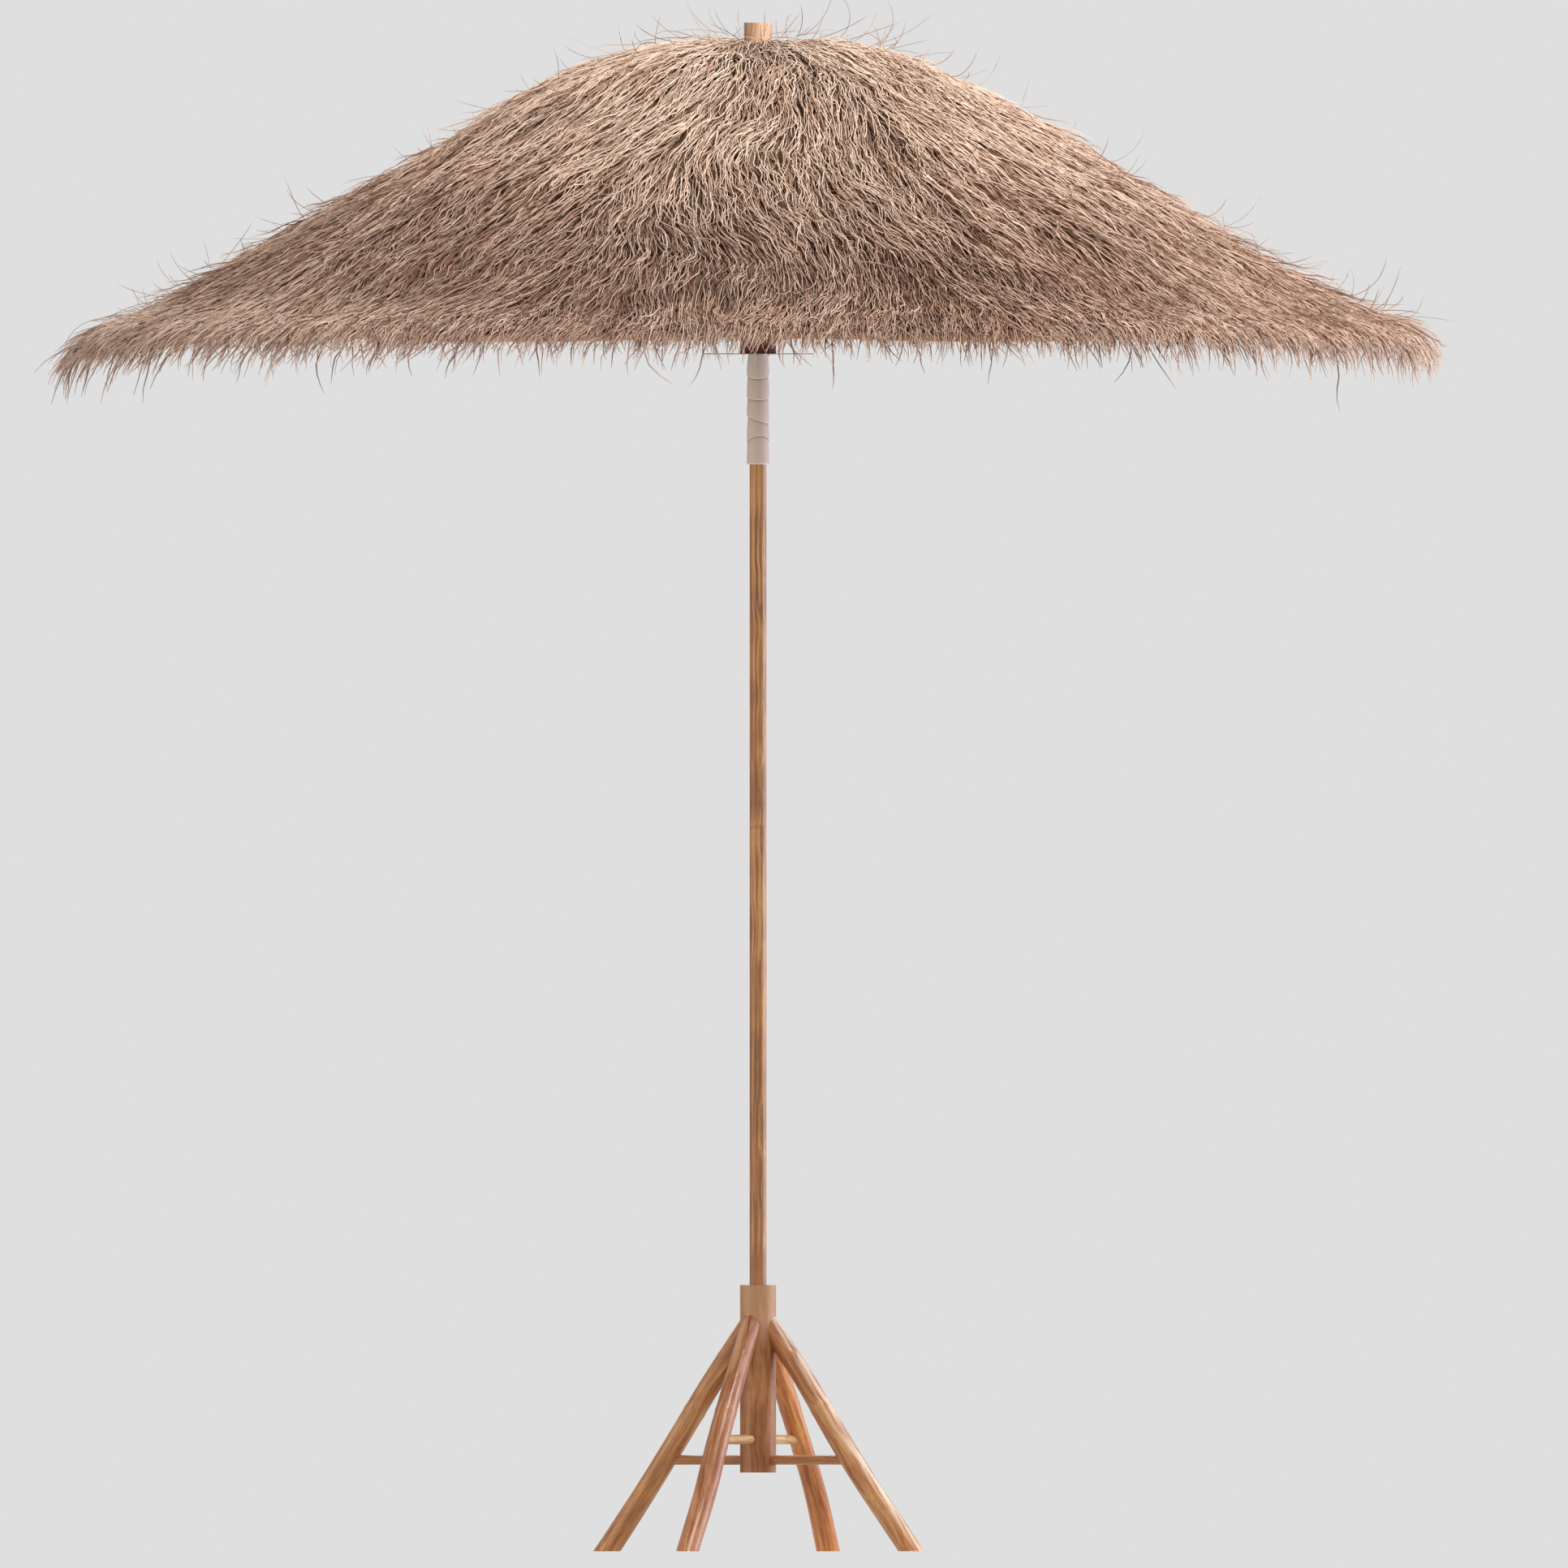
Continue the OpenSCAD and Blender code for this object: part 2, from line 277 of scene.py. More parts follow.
def makeSectorAxes():
    # turns every rib's place into the same axes: across the rib, off it and along it
    tree, given, result = newGroup("sectorAxes", {"Slope": 0.4}, ("Vector",), "NodeSocketVector")
    part = splitAxes(tree, given["Vector"])
    turn = addMath(tree, "ARCTAN2", part["Y"], part["X"])
    number = addMath(tree, "ROUND", addMath(tree, "DIVIDE", turn, ribStep))
    local = subtract(tree, turn, multiply(tree, number, ribStep))
    squares = add(tree, multiply(tree, part["X"], part["X"]), multiply(tree, part["Y"], part["Y"]))
    reach = addMath(tree, "SQRT", squares)
    out = multiply(tree, reach, addMath(tree, "COSINE", local))
    side = multiply(tree, reach, addMath(tree, "SINE", local))
    cosine, sine = addMath(tree, "COSINE", given["Slope"]), addMath(tree, "SINE", given["Slope"])
    along = subtract(tree, multiply(tree, out, cosine), multiply(tree, part["Z"], sine))
    across = add(tree, multiply(tree, out, sine), multiply(tree, part["Z"], cosine))
    apart = multiply(tree, number, 0.37)
    tree.links.new(joinAxes(tree, add(tree, side, apart), across, along), result["Vector"])
    return tree


def makeWeave():
    tree, given, result = newGroup("clothWeave", {"Threads": 900.0}, ("Height", "Slub"))
    threads = given["Threads"]
    scaled = addVector(tree, "MULTIPLY", given["Vector"], joinAxes(tree, threads, threads, threads))
    part = splitAxes(tree, scaled)
    warp = addMath(tree, "SINE", multiply(tree, part["X"], math.pi))
    weft = addMath(tree, "SINE", multiply(tree, part["Y"], math.pi))
    woven = addMath(tree, "ABSOLUTE", multiply(tree, warp, weft))
    slub = addNoise(tree, addVector(tree, "MULTIPLY", given["Vector"], (300.0, 14.0, 14.0)), 1.0, 3.0)
    height = add(tree, multiply(tree, woven, 0.7), multiply(tree, slub, 0.5))
    tree.links.new(height, result["Height"])
    tree.links.new(addRange(tree, slub, 0.3, 0.7), result["Slub"])
    return tree


def makeScuffs():
    tree, given, result = newGroup("metalScuffs", {}, ("Scratch", "Tarnish"))
    brushed = addVector(tree, "MULTIPLY", given["Vector"], (1.0, 1.0, 18.0))
    scratch = addNoise(tree, brushed, 420.0, 4.0, 0.6)
    tarnish = addNoise(tree, given["Vector"], 60.0, 4.0, 0.65)
    tree.links.new(addRange(tree, scratch, 0.35, 0.65), result["Scratch"])
    tree.links.new(addRange(tree, tarnish, 0.42, 0.7), result["Tarnish"])
    return tree


woodGrain = makeWoodGrain()
sectorAxes = makeSectorAxes()
clothWeave = makeWeave()
metalScuffs = makeScuffs()


# wood

plainStops = (0.12, 0.45, 0.85)
woodSet = {
    "poleWood": {"dark": (0.19, 0.058, 0.014), "mid": (0.34, 0.132, 0.034), "light": (0.52, 0.262, 0.082),
                 "stretch": 90, "fineness": 1.5, "roughness": 0.36, "coat": 0.25, "stops": (0.22, 0.45, 0.68),
                 "marks": ((1.244, 0.030, 0.55), (0.475, 0.035, 0.5), (1.2045, 0.004, 0.45))},
    "postWood": {"dark": (0.17, 0.050, 0.013), "mid": (0.30, 0.105, 0.028), "light": (0.46, 0.21, 0.075),
                 "stretch": 12, "fineness": 0.8, "roughness": 0.46, "coat": 0.1,
                 "pale": {"tone": (0.47, 0.27, 0.145), "low": 0.335, "high": 0.402}},
    "legWood": {"dark": (0.20, 0.065, 0.018), "mid": (0.40, 0.152, 0.043), "light": (0.57, 0.30, 0.11),
                "stretch": 16, "fineness": 0.8, "roughness": 0.36, "coat": 0.3, "stops": (0.15, 0.46, 0.78),
                # a painted highlight colour for the upper side of the legs
                "upperHighlight": (0.74, 0.58, 0.44)},
    "barWood": {"dark": (0.28, 0.105, 0.034), "mid": (0.45, 0.23, 0.095), "light": (0.64, 0.42, 0.22),
                "stretch": 30, "fineness": 1.1, "roughness": 0.45, "coat": 0.1},
    "finialWood": {"dark": (0.38, 0.18, 0.080), "mid": (0.61, 0.352, 0.20), "light": (0.73, 0.51, 0.345),
                   "stretch": 26, "fineness": 1.0, "roughness": 0.44, "coat": 0.15},
    "frameWood": {"dark": (0.26, 0.12, 0.05), "mid": (0.44, 0.24, 0.115), "light": (0.58, 0.36, 0.20),
                  "stretch": 40, "fineness": 1.2, "roughness": 0.5, "coat": 0.1},
    "runnerWood": {"dark": (0.050, 0.007, 0.004), "mid": (0.15, 0.020, 0.009), "light": (0.24, 0.045, 0.020),
                   "stretch": 22, "fineness": 1.2, "roughness": 0.42, "coat": 0.1},
}


def grainPlace(made, kind):
    if kind == "limb":
        return readAttribute(made, "grain", "Vector")
    place = objectPlace(made)
    if kind == "sector":
        return groupOutputs(made, sectorAxes, {"Vector": place, "Slope": math.radians(23.4)})["Vector"]
    return place


def heatMarks(made, place, marks):
    # each mark: its height, half its width and its strength
    height = splitAxes(made, place)["Z"]
    total = 0.0
    for centre, half, strength in marks:
        apart = addMath(made, "ABSOLUTE", subtract(made, height, centre))
        total = add(made, total, addRange(made, apart, 0.0, half, strength, 0.0))
    return total


def burnMarks(made, s, place, grain, colour):
    dark = s["dark"]
    burn = multiply(made, heatMarks(made, place, s["marks"]), add(made, 0.35, grain["Streak"]))
    return mixColour(made, burn, colour, (dark[0], dark[1] * 0.7, dark[2] * 0.7))


def paleTowardTop(made, s, place, grain, colour):
    # paler towards the top of the post
    edge = add(made, splitAxes(made, place)["Z"], addRange(made, grain["Blotch"], 0.0, 1.0, -0.02, 0.02))
    paleShare = addRange(made, edge, s["low"], s["high"], 0.0, 0.55)
    return mixColour(made, paleShare, colour, s["tone"])


def paintUpperHighlight(made, tone, grain, colour):
    # painted highlight: the upper side of some limbs is made paler in streaks along the grain, standing for
    # the light that falls on it from above
    facing = splitAxes(made, addNode(made, "ShaderNodeNewGeometry").outputs["Normal"])["Z"]
    paintedLightMask = readAttribute(made, "highlightShare")
    streaks = addRange(made, grain["Streak"], 0.3, 0.55, 0.0, 0.9)
    litStreaks = multiply(made, addRange(made, facing, 0.25, 0.6), streaks)
    return mixColour(made, multiply(made, litStreaks, paintedLightMask), colour, tone)


def woodMaterial(name, s, kind="upright"):
    made = newMaterial(name)
    place = grainPlace(made, kind)
    given = {"Vector": place, "Stretch": s["stretch"], "Fineness": s["fineness"]}
    grain = groupOutputs(made, woodGrain, given)
    mixed = add(made, multiply(made, grain["Streak"], 0.7), multiply(made, grain["Blotch"], 0.3))
    colour = addRamp(made, mixed, list(zip(s.get("stops", plainStops), (s["dark"], s["mid"], s["light"]))))
    fibreTone = addRamp(made, grain["Fibre"], [(0.1, (0.62, 0.56, 0.52)), (0.5, (1.0, 1.0, 1.0))])
    colour = mixColour(made, 0.55, colour, fibreTone, "MULTIPLY")
    colour = mixColour(made, multiply(made, grain["Pores"], 0.55), colour, s["dark"])
    if "marks" in s:
        colour = burnMarks(made, s, place, grain, colour)
    if "pale" in s:
        colour = paleTowardTop(made, s["pale"], place, grain, colour)
    if kind == "limb":
        # painted light and shade: each limb's tint multiplies its colour
        tint = readAttribute(made, "tint", "Color")
        colour = mixColour(made, 1.0, colour, tint, "MULTIPLY")
    if "upperHighlight" in s:
        colour = paintUpperHighlight(made, s["upperHighlight"], grain, colour)
    rough = addRange(made, grain["Fibre"], 0.0, 1.0, s["roughness"] + 0.14, s["roughness"] - 0.05)
    height = subtract(made, multiply(made, grain["Fibre"], 0.6), grain["Pores"])
    sockets = {"Base Color": colour, "Roughness": rough, "Coat Weight": s["coat"], "Coat Roughness": 0.18,
               "Specular IOR Level": 0.4}
    return finishSurface(made, sockets, height, 0.00011)


def rounded(name, width=0.0008, steps=2):
    edge = nodes[name].modifiers.new("softEdge", "BEVEL")
    edge.width = width
    edge.segments = steps
    edge.limit_method = "ANGLE"
    edge.angle_limit = math.radians(50)
    edge.harden_normals = False


def paint(names, material):
    for name in names:
        for slot in nodes[name].material_slots:
            slot.link = "OBJECT"
            slot.material = material


def numbered(stem):
    return [f"{stem}_{i + 1}" for i in range(ribCount)]


addCamera(cameraSet)
addWorld(studioSet)
addFloor(studioSet, [addPanel(name, panelSet[name]) for name in panelSet])
bpy.context.scene.view_settings.view_transform = "Standard"
print("studio is set")

poleWood = woodMaterial("poleWood", woodSet["poleWood"])
postWood = woodMaterial("postWood", woodSet["postWood"])
legWood = woodMaterial("legWood", woodSet["legWood"], "limb")
barWood = woodMaterial("barWood", woodSet["barWood"], "limb")
finialWood = woodMaterial("finialWood", woodSet["finialWood"])
crownWood = woodMaterial("crownWood", woodSet["frameWood"])
frameWood = woodMaterial("frameWood", woodSet["frameWood"], "sector")
runnerWood = woodMaterial("runnerWood", woodSet["runnerWood"])
paint(["lower_pole", "upper_pole", "pole_spigot"], poleWood)
paint(["stand_post"], postWood)
paint(["finial"], finialWood)
paint(["crown_hub"], crownWood)
paint(numbered("rib") + numbered("stretcher"), frameWood)
paint(["runner_hub", "lock_knob"], runnerWood)
rounded("finial", 0.002, 3)
rounded("stand_post", 0.0014, 3)
for name in ["lower_pole", "upper_pole", "crown_hub"] + numbered("rib"):
    rounded(name)
print("wood is painted")


# metal

metalSet = {
    "pinSteel": {"clean": (0.52, 0.51, 0.50), "dull": (0.30, 0.28, 0.26), "roughness": 0.32},
    "plateSteel": {"clean": (0.16, 0.14, 0.13), "dull": (0.08, 0.06, 0.05), "roughness": 0.38},
    "sleeveMetal": {"clean": (0.60, 0.59, 0.58), "dull": (0.36, 0.35, 0.34), "roughness": 0.3},
    "lockBrass": {"clean": (0.62, 0.42, 0.17), "dull": (0.30, 0.17, 0.07), "roughness": 0.3},
}


def metalMaterial(name, s):
    made = newMaterial(name)
    place = objectPlace(made)
    scuffs = groupOutputs(made, metalScuffs, {"Vector": place})
    colour = mixColour(made, scuffs["Tarnish"], s["clean"], s["dull"])
    rough = add(made, s["roughness"], multiply(made, scuffs["Scratch"], 0.22))
    sockets = {"Base Color": colour, "Metallic": 1.0, "Roughness": rough}
    return finishSurface(made, sockets, scuffs["Scratch"], 0.00008)


metalNodes = {
    "pinSteel": ["crown_pins", "runner_pins"] + numbered("rib_pin"),
    "plateSteel": ["runner_plate"],
    "sleeveMetal": ["runner_sleeve"],
    "lockBrass": ["lock_screw"],
}
for name, members in metalNodes.items():
    paint(members, metalMaterial(name, metalSet[name]))
print("metal is painted")


# mesh helpers

def newPiece(name, points, faces, material, body, stands=(), plain=None):
    mesh = bpy.data.meshes.new(name)
    mesh.from_pydata(points, [], faces)
    mesh.shade_smooth()
    plainNode = plain or (stands[0] if stands else None)
    mesh.materials.append(nodes[plainNode].data.materials[0] if plainNode else material)
    made = bpy.data.objects.new(name, mesh)
    bpy.context.scene.collection.objects.link(made)
    made.material_slots[0].link = "OBJECT"
    made.material_slots[0].material = material
    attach(made, body)
    if stands:
        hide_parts(*stands)
    return made


def addAttribute(piece, name, kind, values):
    attribute = piece.data.attributes.new(name, kind, "POINT")
    key = "vector" if kind == "FLOAT_VECTOR" else "value"
    attribute.data.foreach_set(key, np.asarray(values, np.float32).ravel())


def gridFaces(rows, columns, closed):
    faces = []
    across = columns if closed else columns - 1
    for i in range(rows - 1):
        for j in range(across):
            k = (j + 1) % columns
            faces.append((i * columns + j, i * columns + k, (i + 1) * columns + k, (i + 1) * columns + j))
    return faces


def roundAxis(r, angle, z):
    return np.stack([r * np.cos(angle), r * np.sin(angle), z + 0 * angle], -1)


def spreadRows(values, columns):
    return np.repeat(np.asarray(values)[:, None], columns, 1)


def cappedTube(rings, sides):
    last = (rings - 1) * sides
    return gridFaces(rings, sides, True) + [tuple(range(sides)), tuple(reversed(range(last, last + sides)))]


def squashToRib(piece):
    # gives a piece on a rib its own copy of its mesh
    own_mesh(piece)


def smoothPath(points, rounds=3):
    path = np.asarray(points, float)
    for _ in range(rounds):
        early = path[:-1] * 0.75 + path[1:] * 0.25
        late = path[:-1] * 0.25 + path[1:] * 0.75
        path = np.vstack([path[:1], np.stack([early, late], 1).reshape(-1, path.shape[1]), path[-1:]])
    return path


def spacedPath(points, count):
    gaps = np.linalg.norm(np.diff(points, axis=0), axis=1)
    reach = np.concatenate([[0], np.cumsum(gaps)])
    wanted = np.linspace(0, reach[-1], count)
    return np.stack([np.interp(wanted, reach, points[:, k]) for k in range(points.shape[1])], 1), wanted


# legs and bars

legSet = {
    "turn": math.radians(-25.2),
    "paths": (
        ((0.004, 0.396), (0.078, 0.298), (0.166, 0.160), (0.282, 0.0), (0.2955, -0.020)),
        ((0.004, 0.396), (0.080, 0.300), (0.153, 0.190), (0.229, 0.091), (0.279, 0.0), (0.290, -0.020)),
        ((0.004, 0.396), (0.080, 0.287), (0.163, 0.160), (0.279, 0.0), (0.2935, -0.020)),
        ((0.004, 0.396), (0.084, 0.300), (0.163, 0.185), (0.2085, 0.090), (0.270, 0.0), (0.2835, -0.020)),
    ),
    # how strongly each leg takes the painted highlight on its upper side
    "highlightShare": (1.0, 0.0, 0.1, 0.15),
    # painted light and shade: each leg's colour is multiplied up or down, warm bounce light on the far-right
    # leg and shade on the near-left leg
    "lightShadeTints": ((1.0, 1.0, 1.0), (1.26, 1.10, 0.86), (1.0, 1.0, 0.92), (0.82, 0.70, 0.64)),
    "radius": 0.0174,
    "swell": 0.07,
    "knot": 0.035,
    "lean": 0.0025,
    "rings": 110,
    "sides": 28,
    "seed": 11,
    "nodes": (0.17, 0.40),
}


def limbMesh(centres, reach, radii, dents, sides):
    ahead = np.gradient(centres, axis=0)
    ahead /= np.linalg.norm(ahead, axis=1)[:, None]
    side = np.cross(ahead, (0, 0, 1.0))
    side /= np.linalg.norm(side, axis=1)[:, None]
    over = np.cross(side, ahead)
    turn = np.arange(sides) * 2 * math.pi / sides
    ring = radii[:, None] * (1 + dents(reach[:, None], turn[None, :]))
    aside = np.cos(turn)[None, :, None] * side[:, None] + np.sin(turn)[None, :, None] * over[:, None]
    points = (centres[:, None] + ring[:, :, None] * aside).reshape(-1, 3)
    grain = np.stack([ring * np.cos(turn), ring * np.sin(turn), spreadRows(reach, sides)], 2).reshape(-1, 3)
    return points, grain


def legCentres(rand, index, s):
    turn = s["turn"] + index * math.pi / 2
    line, reach = spacedPath(smoothPath(s["paths"][index], 3), s["rings"])
    lean = s["lean"] * np.sin(reach / reach[-1] * math.pi * 2 + rand.uniform(0, 6))
    x = line[:, 0] * math.cos(turn) - lean * math.sin(turn)
    y = line[:, 0] * math.sin(turn) + lean * math.cos(turn)
    return np.stack([x, y, line[:, 1]], 1), reach


def legRadii(rand, reach, s):
    # thicker towards the foot, with a knot at each node and a rounded upper end
    share = reach / reach[-1]
    radii = s["radius"] * (1 + s["swell"] * share + 0.02 * np.sin(share * 9 + rand.uniform(0, 6)))
    for place in s["nodes"]:
        apart = reach - place * reach[-1] - rand.uniform(-0.01, 0.01)
        radii = radii * (1 + s["knot"] * np.exp(-(apart / 0.004) ** 2))
    tip = np.clip(reach / (s["radius"] * 0.9), 0, 1)
    return radii * np.sqrt(np.clip(1 - (1 - tip) ** 2, 0.0004, 1))


def legBody(index, s):
    rand = np.random.default_rng(s["seed"] + index)
    centres, reach = legCentres(rand, index, s)
    radii = legRadii(rand, reach, s)
    phases = rand.uniform(0, 6, 4)

    def dents(along, around):
        oval = 0.014 * np.sin(2 * around + phases[0] + along * 9)
        corners = 0.008 * np.sin(3 * around + phases[1] - along * 17)
        nicks = 0.004 * np.sin(7 * around + phases[2] + along * 60) * np.sin(along * 40 + phases[3])
        return oval + corners + nicks

    points, grain = limbMesh(centres, reach, radii, dents, s["sides"])
    low = points[:, 2] < 0
    foot = (centres[-1] - centres[-4]) / (centres[-1] - centres[-4])[2]
    points[low] -= foot * points[low, 2:3]
    grain[:, :2] += rand.uniform(-1, 1, 2)
    return points, grain


def addLimb(name, node, points, grain, tint, material, s):
    faces = cappedTube(s["rings"], s["sides"])
    limb = newPiece(name, points.tolist(), faces, material, "stand", [node])
    addAttribute(limb, "grain", "FLOAT_VECTOR", grain)
    addAttribute(limb, "tint", "FLOAT_VECTOR", np.tile(tint, (len(points), 1)))
    return limb


def addLegs(s):
    for index, (highlightShare, tint) in enumerate(zip(s["highlightShare"], s["lightShadeTints"])):
        points, grain = legBody(index, s)
        number = index + 1
        leg = addLimb(f"standLeg_{number}", f"leg_{number}", points, grain, tint, legWood, s)
        addAttribute(leg, "highlightShare", "FLOAT", np.full(len(points), highlightShare))


barSet = {
    "radius": 0.0079,
    "half": 0.21,
    "rings": 60,
    "sides": 20,
    "bars": (
        # painted light and shade: the upper bar's colour is lightened and the lower bar's darkened
        {"name": "Upper", "turn": math.pi / 2, "seed": 31, "tint": (1.12, 1.22, 1.20)},
        {"name": "Lower", "turn": 0, "seed": 37, "tint": (0.83, 0.66, 0.58)},
    ),
}


def barHalf(low, high, toward, longest):
    half = max(high.x - low.x, high.y - low.y) / 2
    return min(half / max(abs(toward.x), abs(toward.y)), longest)


def addBar(bar, s):
    rand = np.random.default_rng(bar["seed"])
    node = "cross_bar_" + bar["name"].lower()
    low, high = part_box(node)
    turn = legSet["turn"] + bar["turn"]
    toward = Vector((math.cos(turn), math.sin(turn), 0))
    half = barHalf(low, high, toward, s["half"])
    reach = np.linspace(-half, half, s["rings"])
    centres = reach[:, None] * np.array(toward)[None] + np.array([0, 0, (low.z + high.z) / 2])
    ends = np.clip((half - np.abs(reach)) / s["radius"], 0, 1)
    radii = s["radius"] * (1 + 0.015 * np.sin(reach * 55 + rand.uniform(0, 6)))
    radii = radii * np.sqrt(np.clip(1 - (1 - ends) ** 2, 0.01, 1))
    points, grain = limbMesh(centres, reach, radii, barDents, s["sides"])
    grain[:, :2] += rand.uniform(-1, 1, 2)
    addLimb("standBar" + bar["name"], node, points, grain, bar["tint"], barWood, s)


def barDents(along, around):
    return 0.012 * np.sin(2 * around + along * 20)


addLegs(legSet)
for bar in barSet["bars"]:
    addBar(bar, barSet)
print("stand is built")


# grip wrap: one strip wound in five shingled turns

gripSet = {
    "columns": 72,
    "rows": 48,
    "inner": 0.0163,
    "outer": 0.0186,
    "lip": 0.0008,
    "tuck": 0.0022,
    # each turn: middle height of its top and bottom, then how far front and right of it drop
    "turns": (
        {"top": (1.9905, 0.0, 0.0), "bottom": (1.9568, -0.0067, 0.0005)},
        {"top": (1.9640, -0.006, 0.0), "bottom": (1.9190, -0.0040, -0.0005)},
        {"top": (1.9270, -0.005, 0.0), "bottom": (1.8825, -0.0020, -0.0060)},
        {"top": (1.8900, -0.002, -0.004), "bottom": (1.8455, 0.0098, 0.0020)},
        {"top": (1.8580, 0.0090, 0.0020), "bottom": (1.8085, 0.0, 0.0)},
    ),
    "flat": (0.043, 0.565),
    # lip is a painted highlight colour for the rounded lips, and the crease colour is a painted shade for the
    # fold beneath each lip
    "fabric": {"shade": (0.53, 0.42, 0.355), "cloth": (0.57, 0.455, 0.385), "lip": (0.84, 0.78, 0.74),
               "creaseShade": (0.17, 0.115, 0.085), "sheen": (0.72, 0.72, 1.0), "threads": 1500.0},
}


def shadeSlubs(made, weave, share, colour, deepest):
    tone = addRamp(made, weave["Slub"], [(0.0, deepest), (1.0, (1.0, 1.0, 1.0))])
    return mixColour(made, share, colour, tone, "MULTIPLY")


def gripMaterial(s):
    made = newMaterial("gripCloth")
    place = readAttribute(made, "wound", "Vector")
    weave = groupOutputs(made, clothWeave, {"Vector": place, "Threads": s["threads"]})
    cloud = addNoise(made, objectPlace(made), 12.0, 2.0, 0.5)
    colour = addRamp(made, cloud, [(0.35, s["shade"]), (0.65, s["cloth"])])
    colour = shadeSlubs(made, weave, 0.8, colour, (0.93, 0.92, 0.91))
    # painted highlight along each lip and painted shade in the fold beneath it
    for name, share in (("lip", 0.7), ("creaseShade", 0.85)):
        paintedLightMask = readAttribute(made, name)
        colour = mixColour(made, multiply(made, paintedLightMask, share), colour, s[name])
    sockets = {"Base Color": colour, "Roughness": 0.6, "Sheen Weight": 0.45, "Sheen Roughness": 0.4,
               "Sheen Tint": (*s["sheen"], 1)}
    return finishSurface(made, sockets, weave["Height"], 0.00005)


def ringHeight(values, around):
    middle, front, right = values
    return middle + front * np.cos(around) + right * np.sin(around)


def gripTurn(number, s, around, share):
    # one turn, bulging towards a rolled lower lip that hides the start of the next
    turn, lip = s["turns"][number], s["lip"]
    top, bottom = ringHeight(turn["top"], around), ringHeight(turn["bottom"], around)
    body = np.clip(share / 0.8, 0, 1)
    curl = np.clip((share - 0.8) / 0.2, 0, 1) * math.pi * 0.9
    swell = np.sin(np.clip(body * 1.15, 0, 1) * math.pi / 2)
    radius = s["inner"] + (s["outer"] - s["inner"]) * swell - lip * (1 - np.cos(curl))
    radius = radius[:, None] + 0 * around
    height = top + (bottom + lip - top) * body[:, None] - (lip * np.sin(curl))[:, None]
    # painted highlight: a band along the rounded lip
    edge = np.exp(-((share - 0.86) / 0.045) ** 2)[:, None] + 0 * around
    # painted shade: darkest where this turn tucks beneath the turn above
    underShade = 0 * height
    if number:
        below = ringHeight(s["turns"][number - 1]["bottom"], around) - height
        underShade = np.exp(-np.clip(below, 0, 1) / s["tuck"])
    return radius, height, edge, underShade


def addGrip(s):
    around = np.arange(s["columns"]) * 2 * math.pi / s["columns"]
    share = np.linspace(0, 1, s["rows"])
    points, faces, wound, lipHighlights, creaseShades = [], [], [], [], []
    for number in range(len(s["turns"])):
        radius, height, edge, underShade = gripTurn(number, s, around, share)
        start = number * s["rows"] * s["columns"]
        ring = np.stack([radius * np.sin(around), -radius * np.cos(around), height], 2)
        points += ring.reshape(-1, 3).tolist()
        faces += [tuple(start + k for k in face) for face in gridFaces(s["rows"], s["columns"], True)]
        wound.append(np.stack([around * s["outer"] + 0 * height, height, 0 * height], 2).reshape(-1, 3))
        lipHighlights.append(edge.ravel())
        creaseShades.append(underShade.ravel())
    cloth = gripMaterial(s["fabric"])
    grip = newPiece("gripWrap", points, faces, cloth, "runner", ["grip_wrap"])
    addAttribute(grip, "wound", "FLOAT_VECTOR", np.vstack(wound))
    addAttribute(grip, "lip", "FLOAT", np.concatenate(lipHighlights))
    addAttribute(grip, "creaseShade", "FLOAT", np.concatenate(creaseShades))


addGrip(gripSet)
print("grip is wrapped")


# canopy cloth: eight gores sewn on the ribs, with a bound hem

canopySet = {
    "line": ((0.046, 2.4880), (0.200, 2.4044), (1.074, 2.0260)),
    "sag": 0.006,
    "sagFull": 1.07,
    "keep": 0.37,
    "rows": 60,
    "columns": 33,
    "goreFlat": (0.845, 1.131),
    "goreArea": 0.494,
    "cloth": {"shade": (0.40, 0.31, 0.22), "cloth": (0.56, 0.45, 0.33), "threads": 800.0,
              "stitch": (0.72, 0.66, 0.56), "seam": 0.012, "thread": 0.0008},
    "hem": {"dark": (0.3, 0.13, 0.05), "mid": (0.5, 0.25, 0.1), "light": (0.62, 0.37, 0.19), "threads": 500},
    "hemRise": 0.0115,
    "hemDepth": 0.0028,
    "hemSides": 14,
}


def canvasMaterial(s):
    made = newMaterial("canopyCloth")
    place = readAttribute(made, "cut", "Vector")
    weave = groupOutputs(made, clothWeave, {"Vector": place, "Threads": s["threads"]})
    part = splitAxes(made, place)
    cloud = addNoise(made, place, 5.0, 4.0, 0.6)
    colour = addRamp(made, cloud, [(0.3, s["shade"]), (0.62, s["cloth"])])
    colour = shadeSlubs(made, weave, 0.7, colour, (0.82, 0.80, 0.78))
    fromSeam = subtract(made, addMath(made, "ABSOLUTE", part["Z"]), s["seam"])
    onSeam = addMath(made, "LESS_THAN", addMath(made, "ABSOLUTE", fromSeam), s["thread"])
    dash = addMath(made, "SINE", multiply(made, part["Y"], 1200.0))
    stitch = multiply(made, onSeam, addMath(made, "GREATER_THAN", dash, -0.2))
    colour = mixColour(made, stitch, colour, s["stitch"])
    height = add(made, weave["Height"], stitch)
    sockets = {"Base Color": colour, "Roughness": 0.85, "Sheen Weight": 0.2}
    return finishSurface(made, sockets, height, 0.0003)


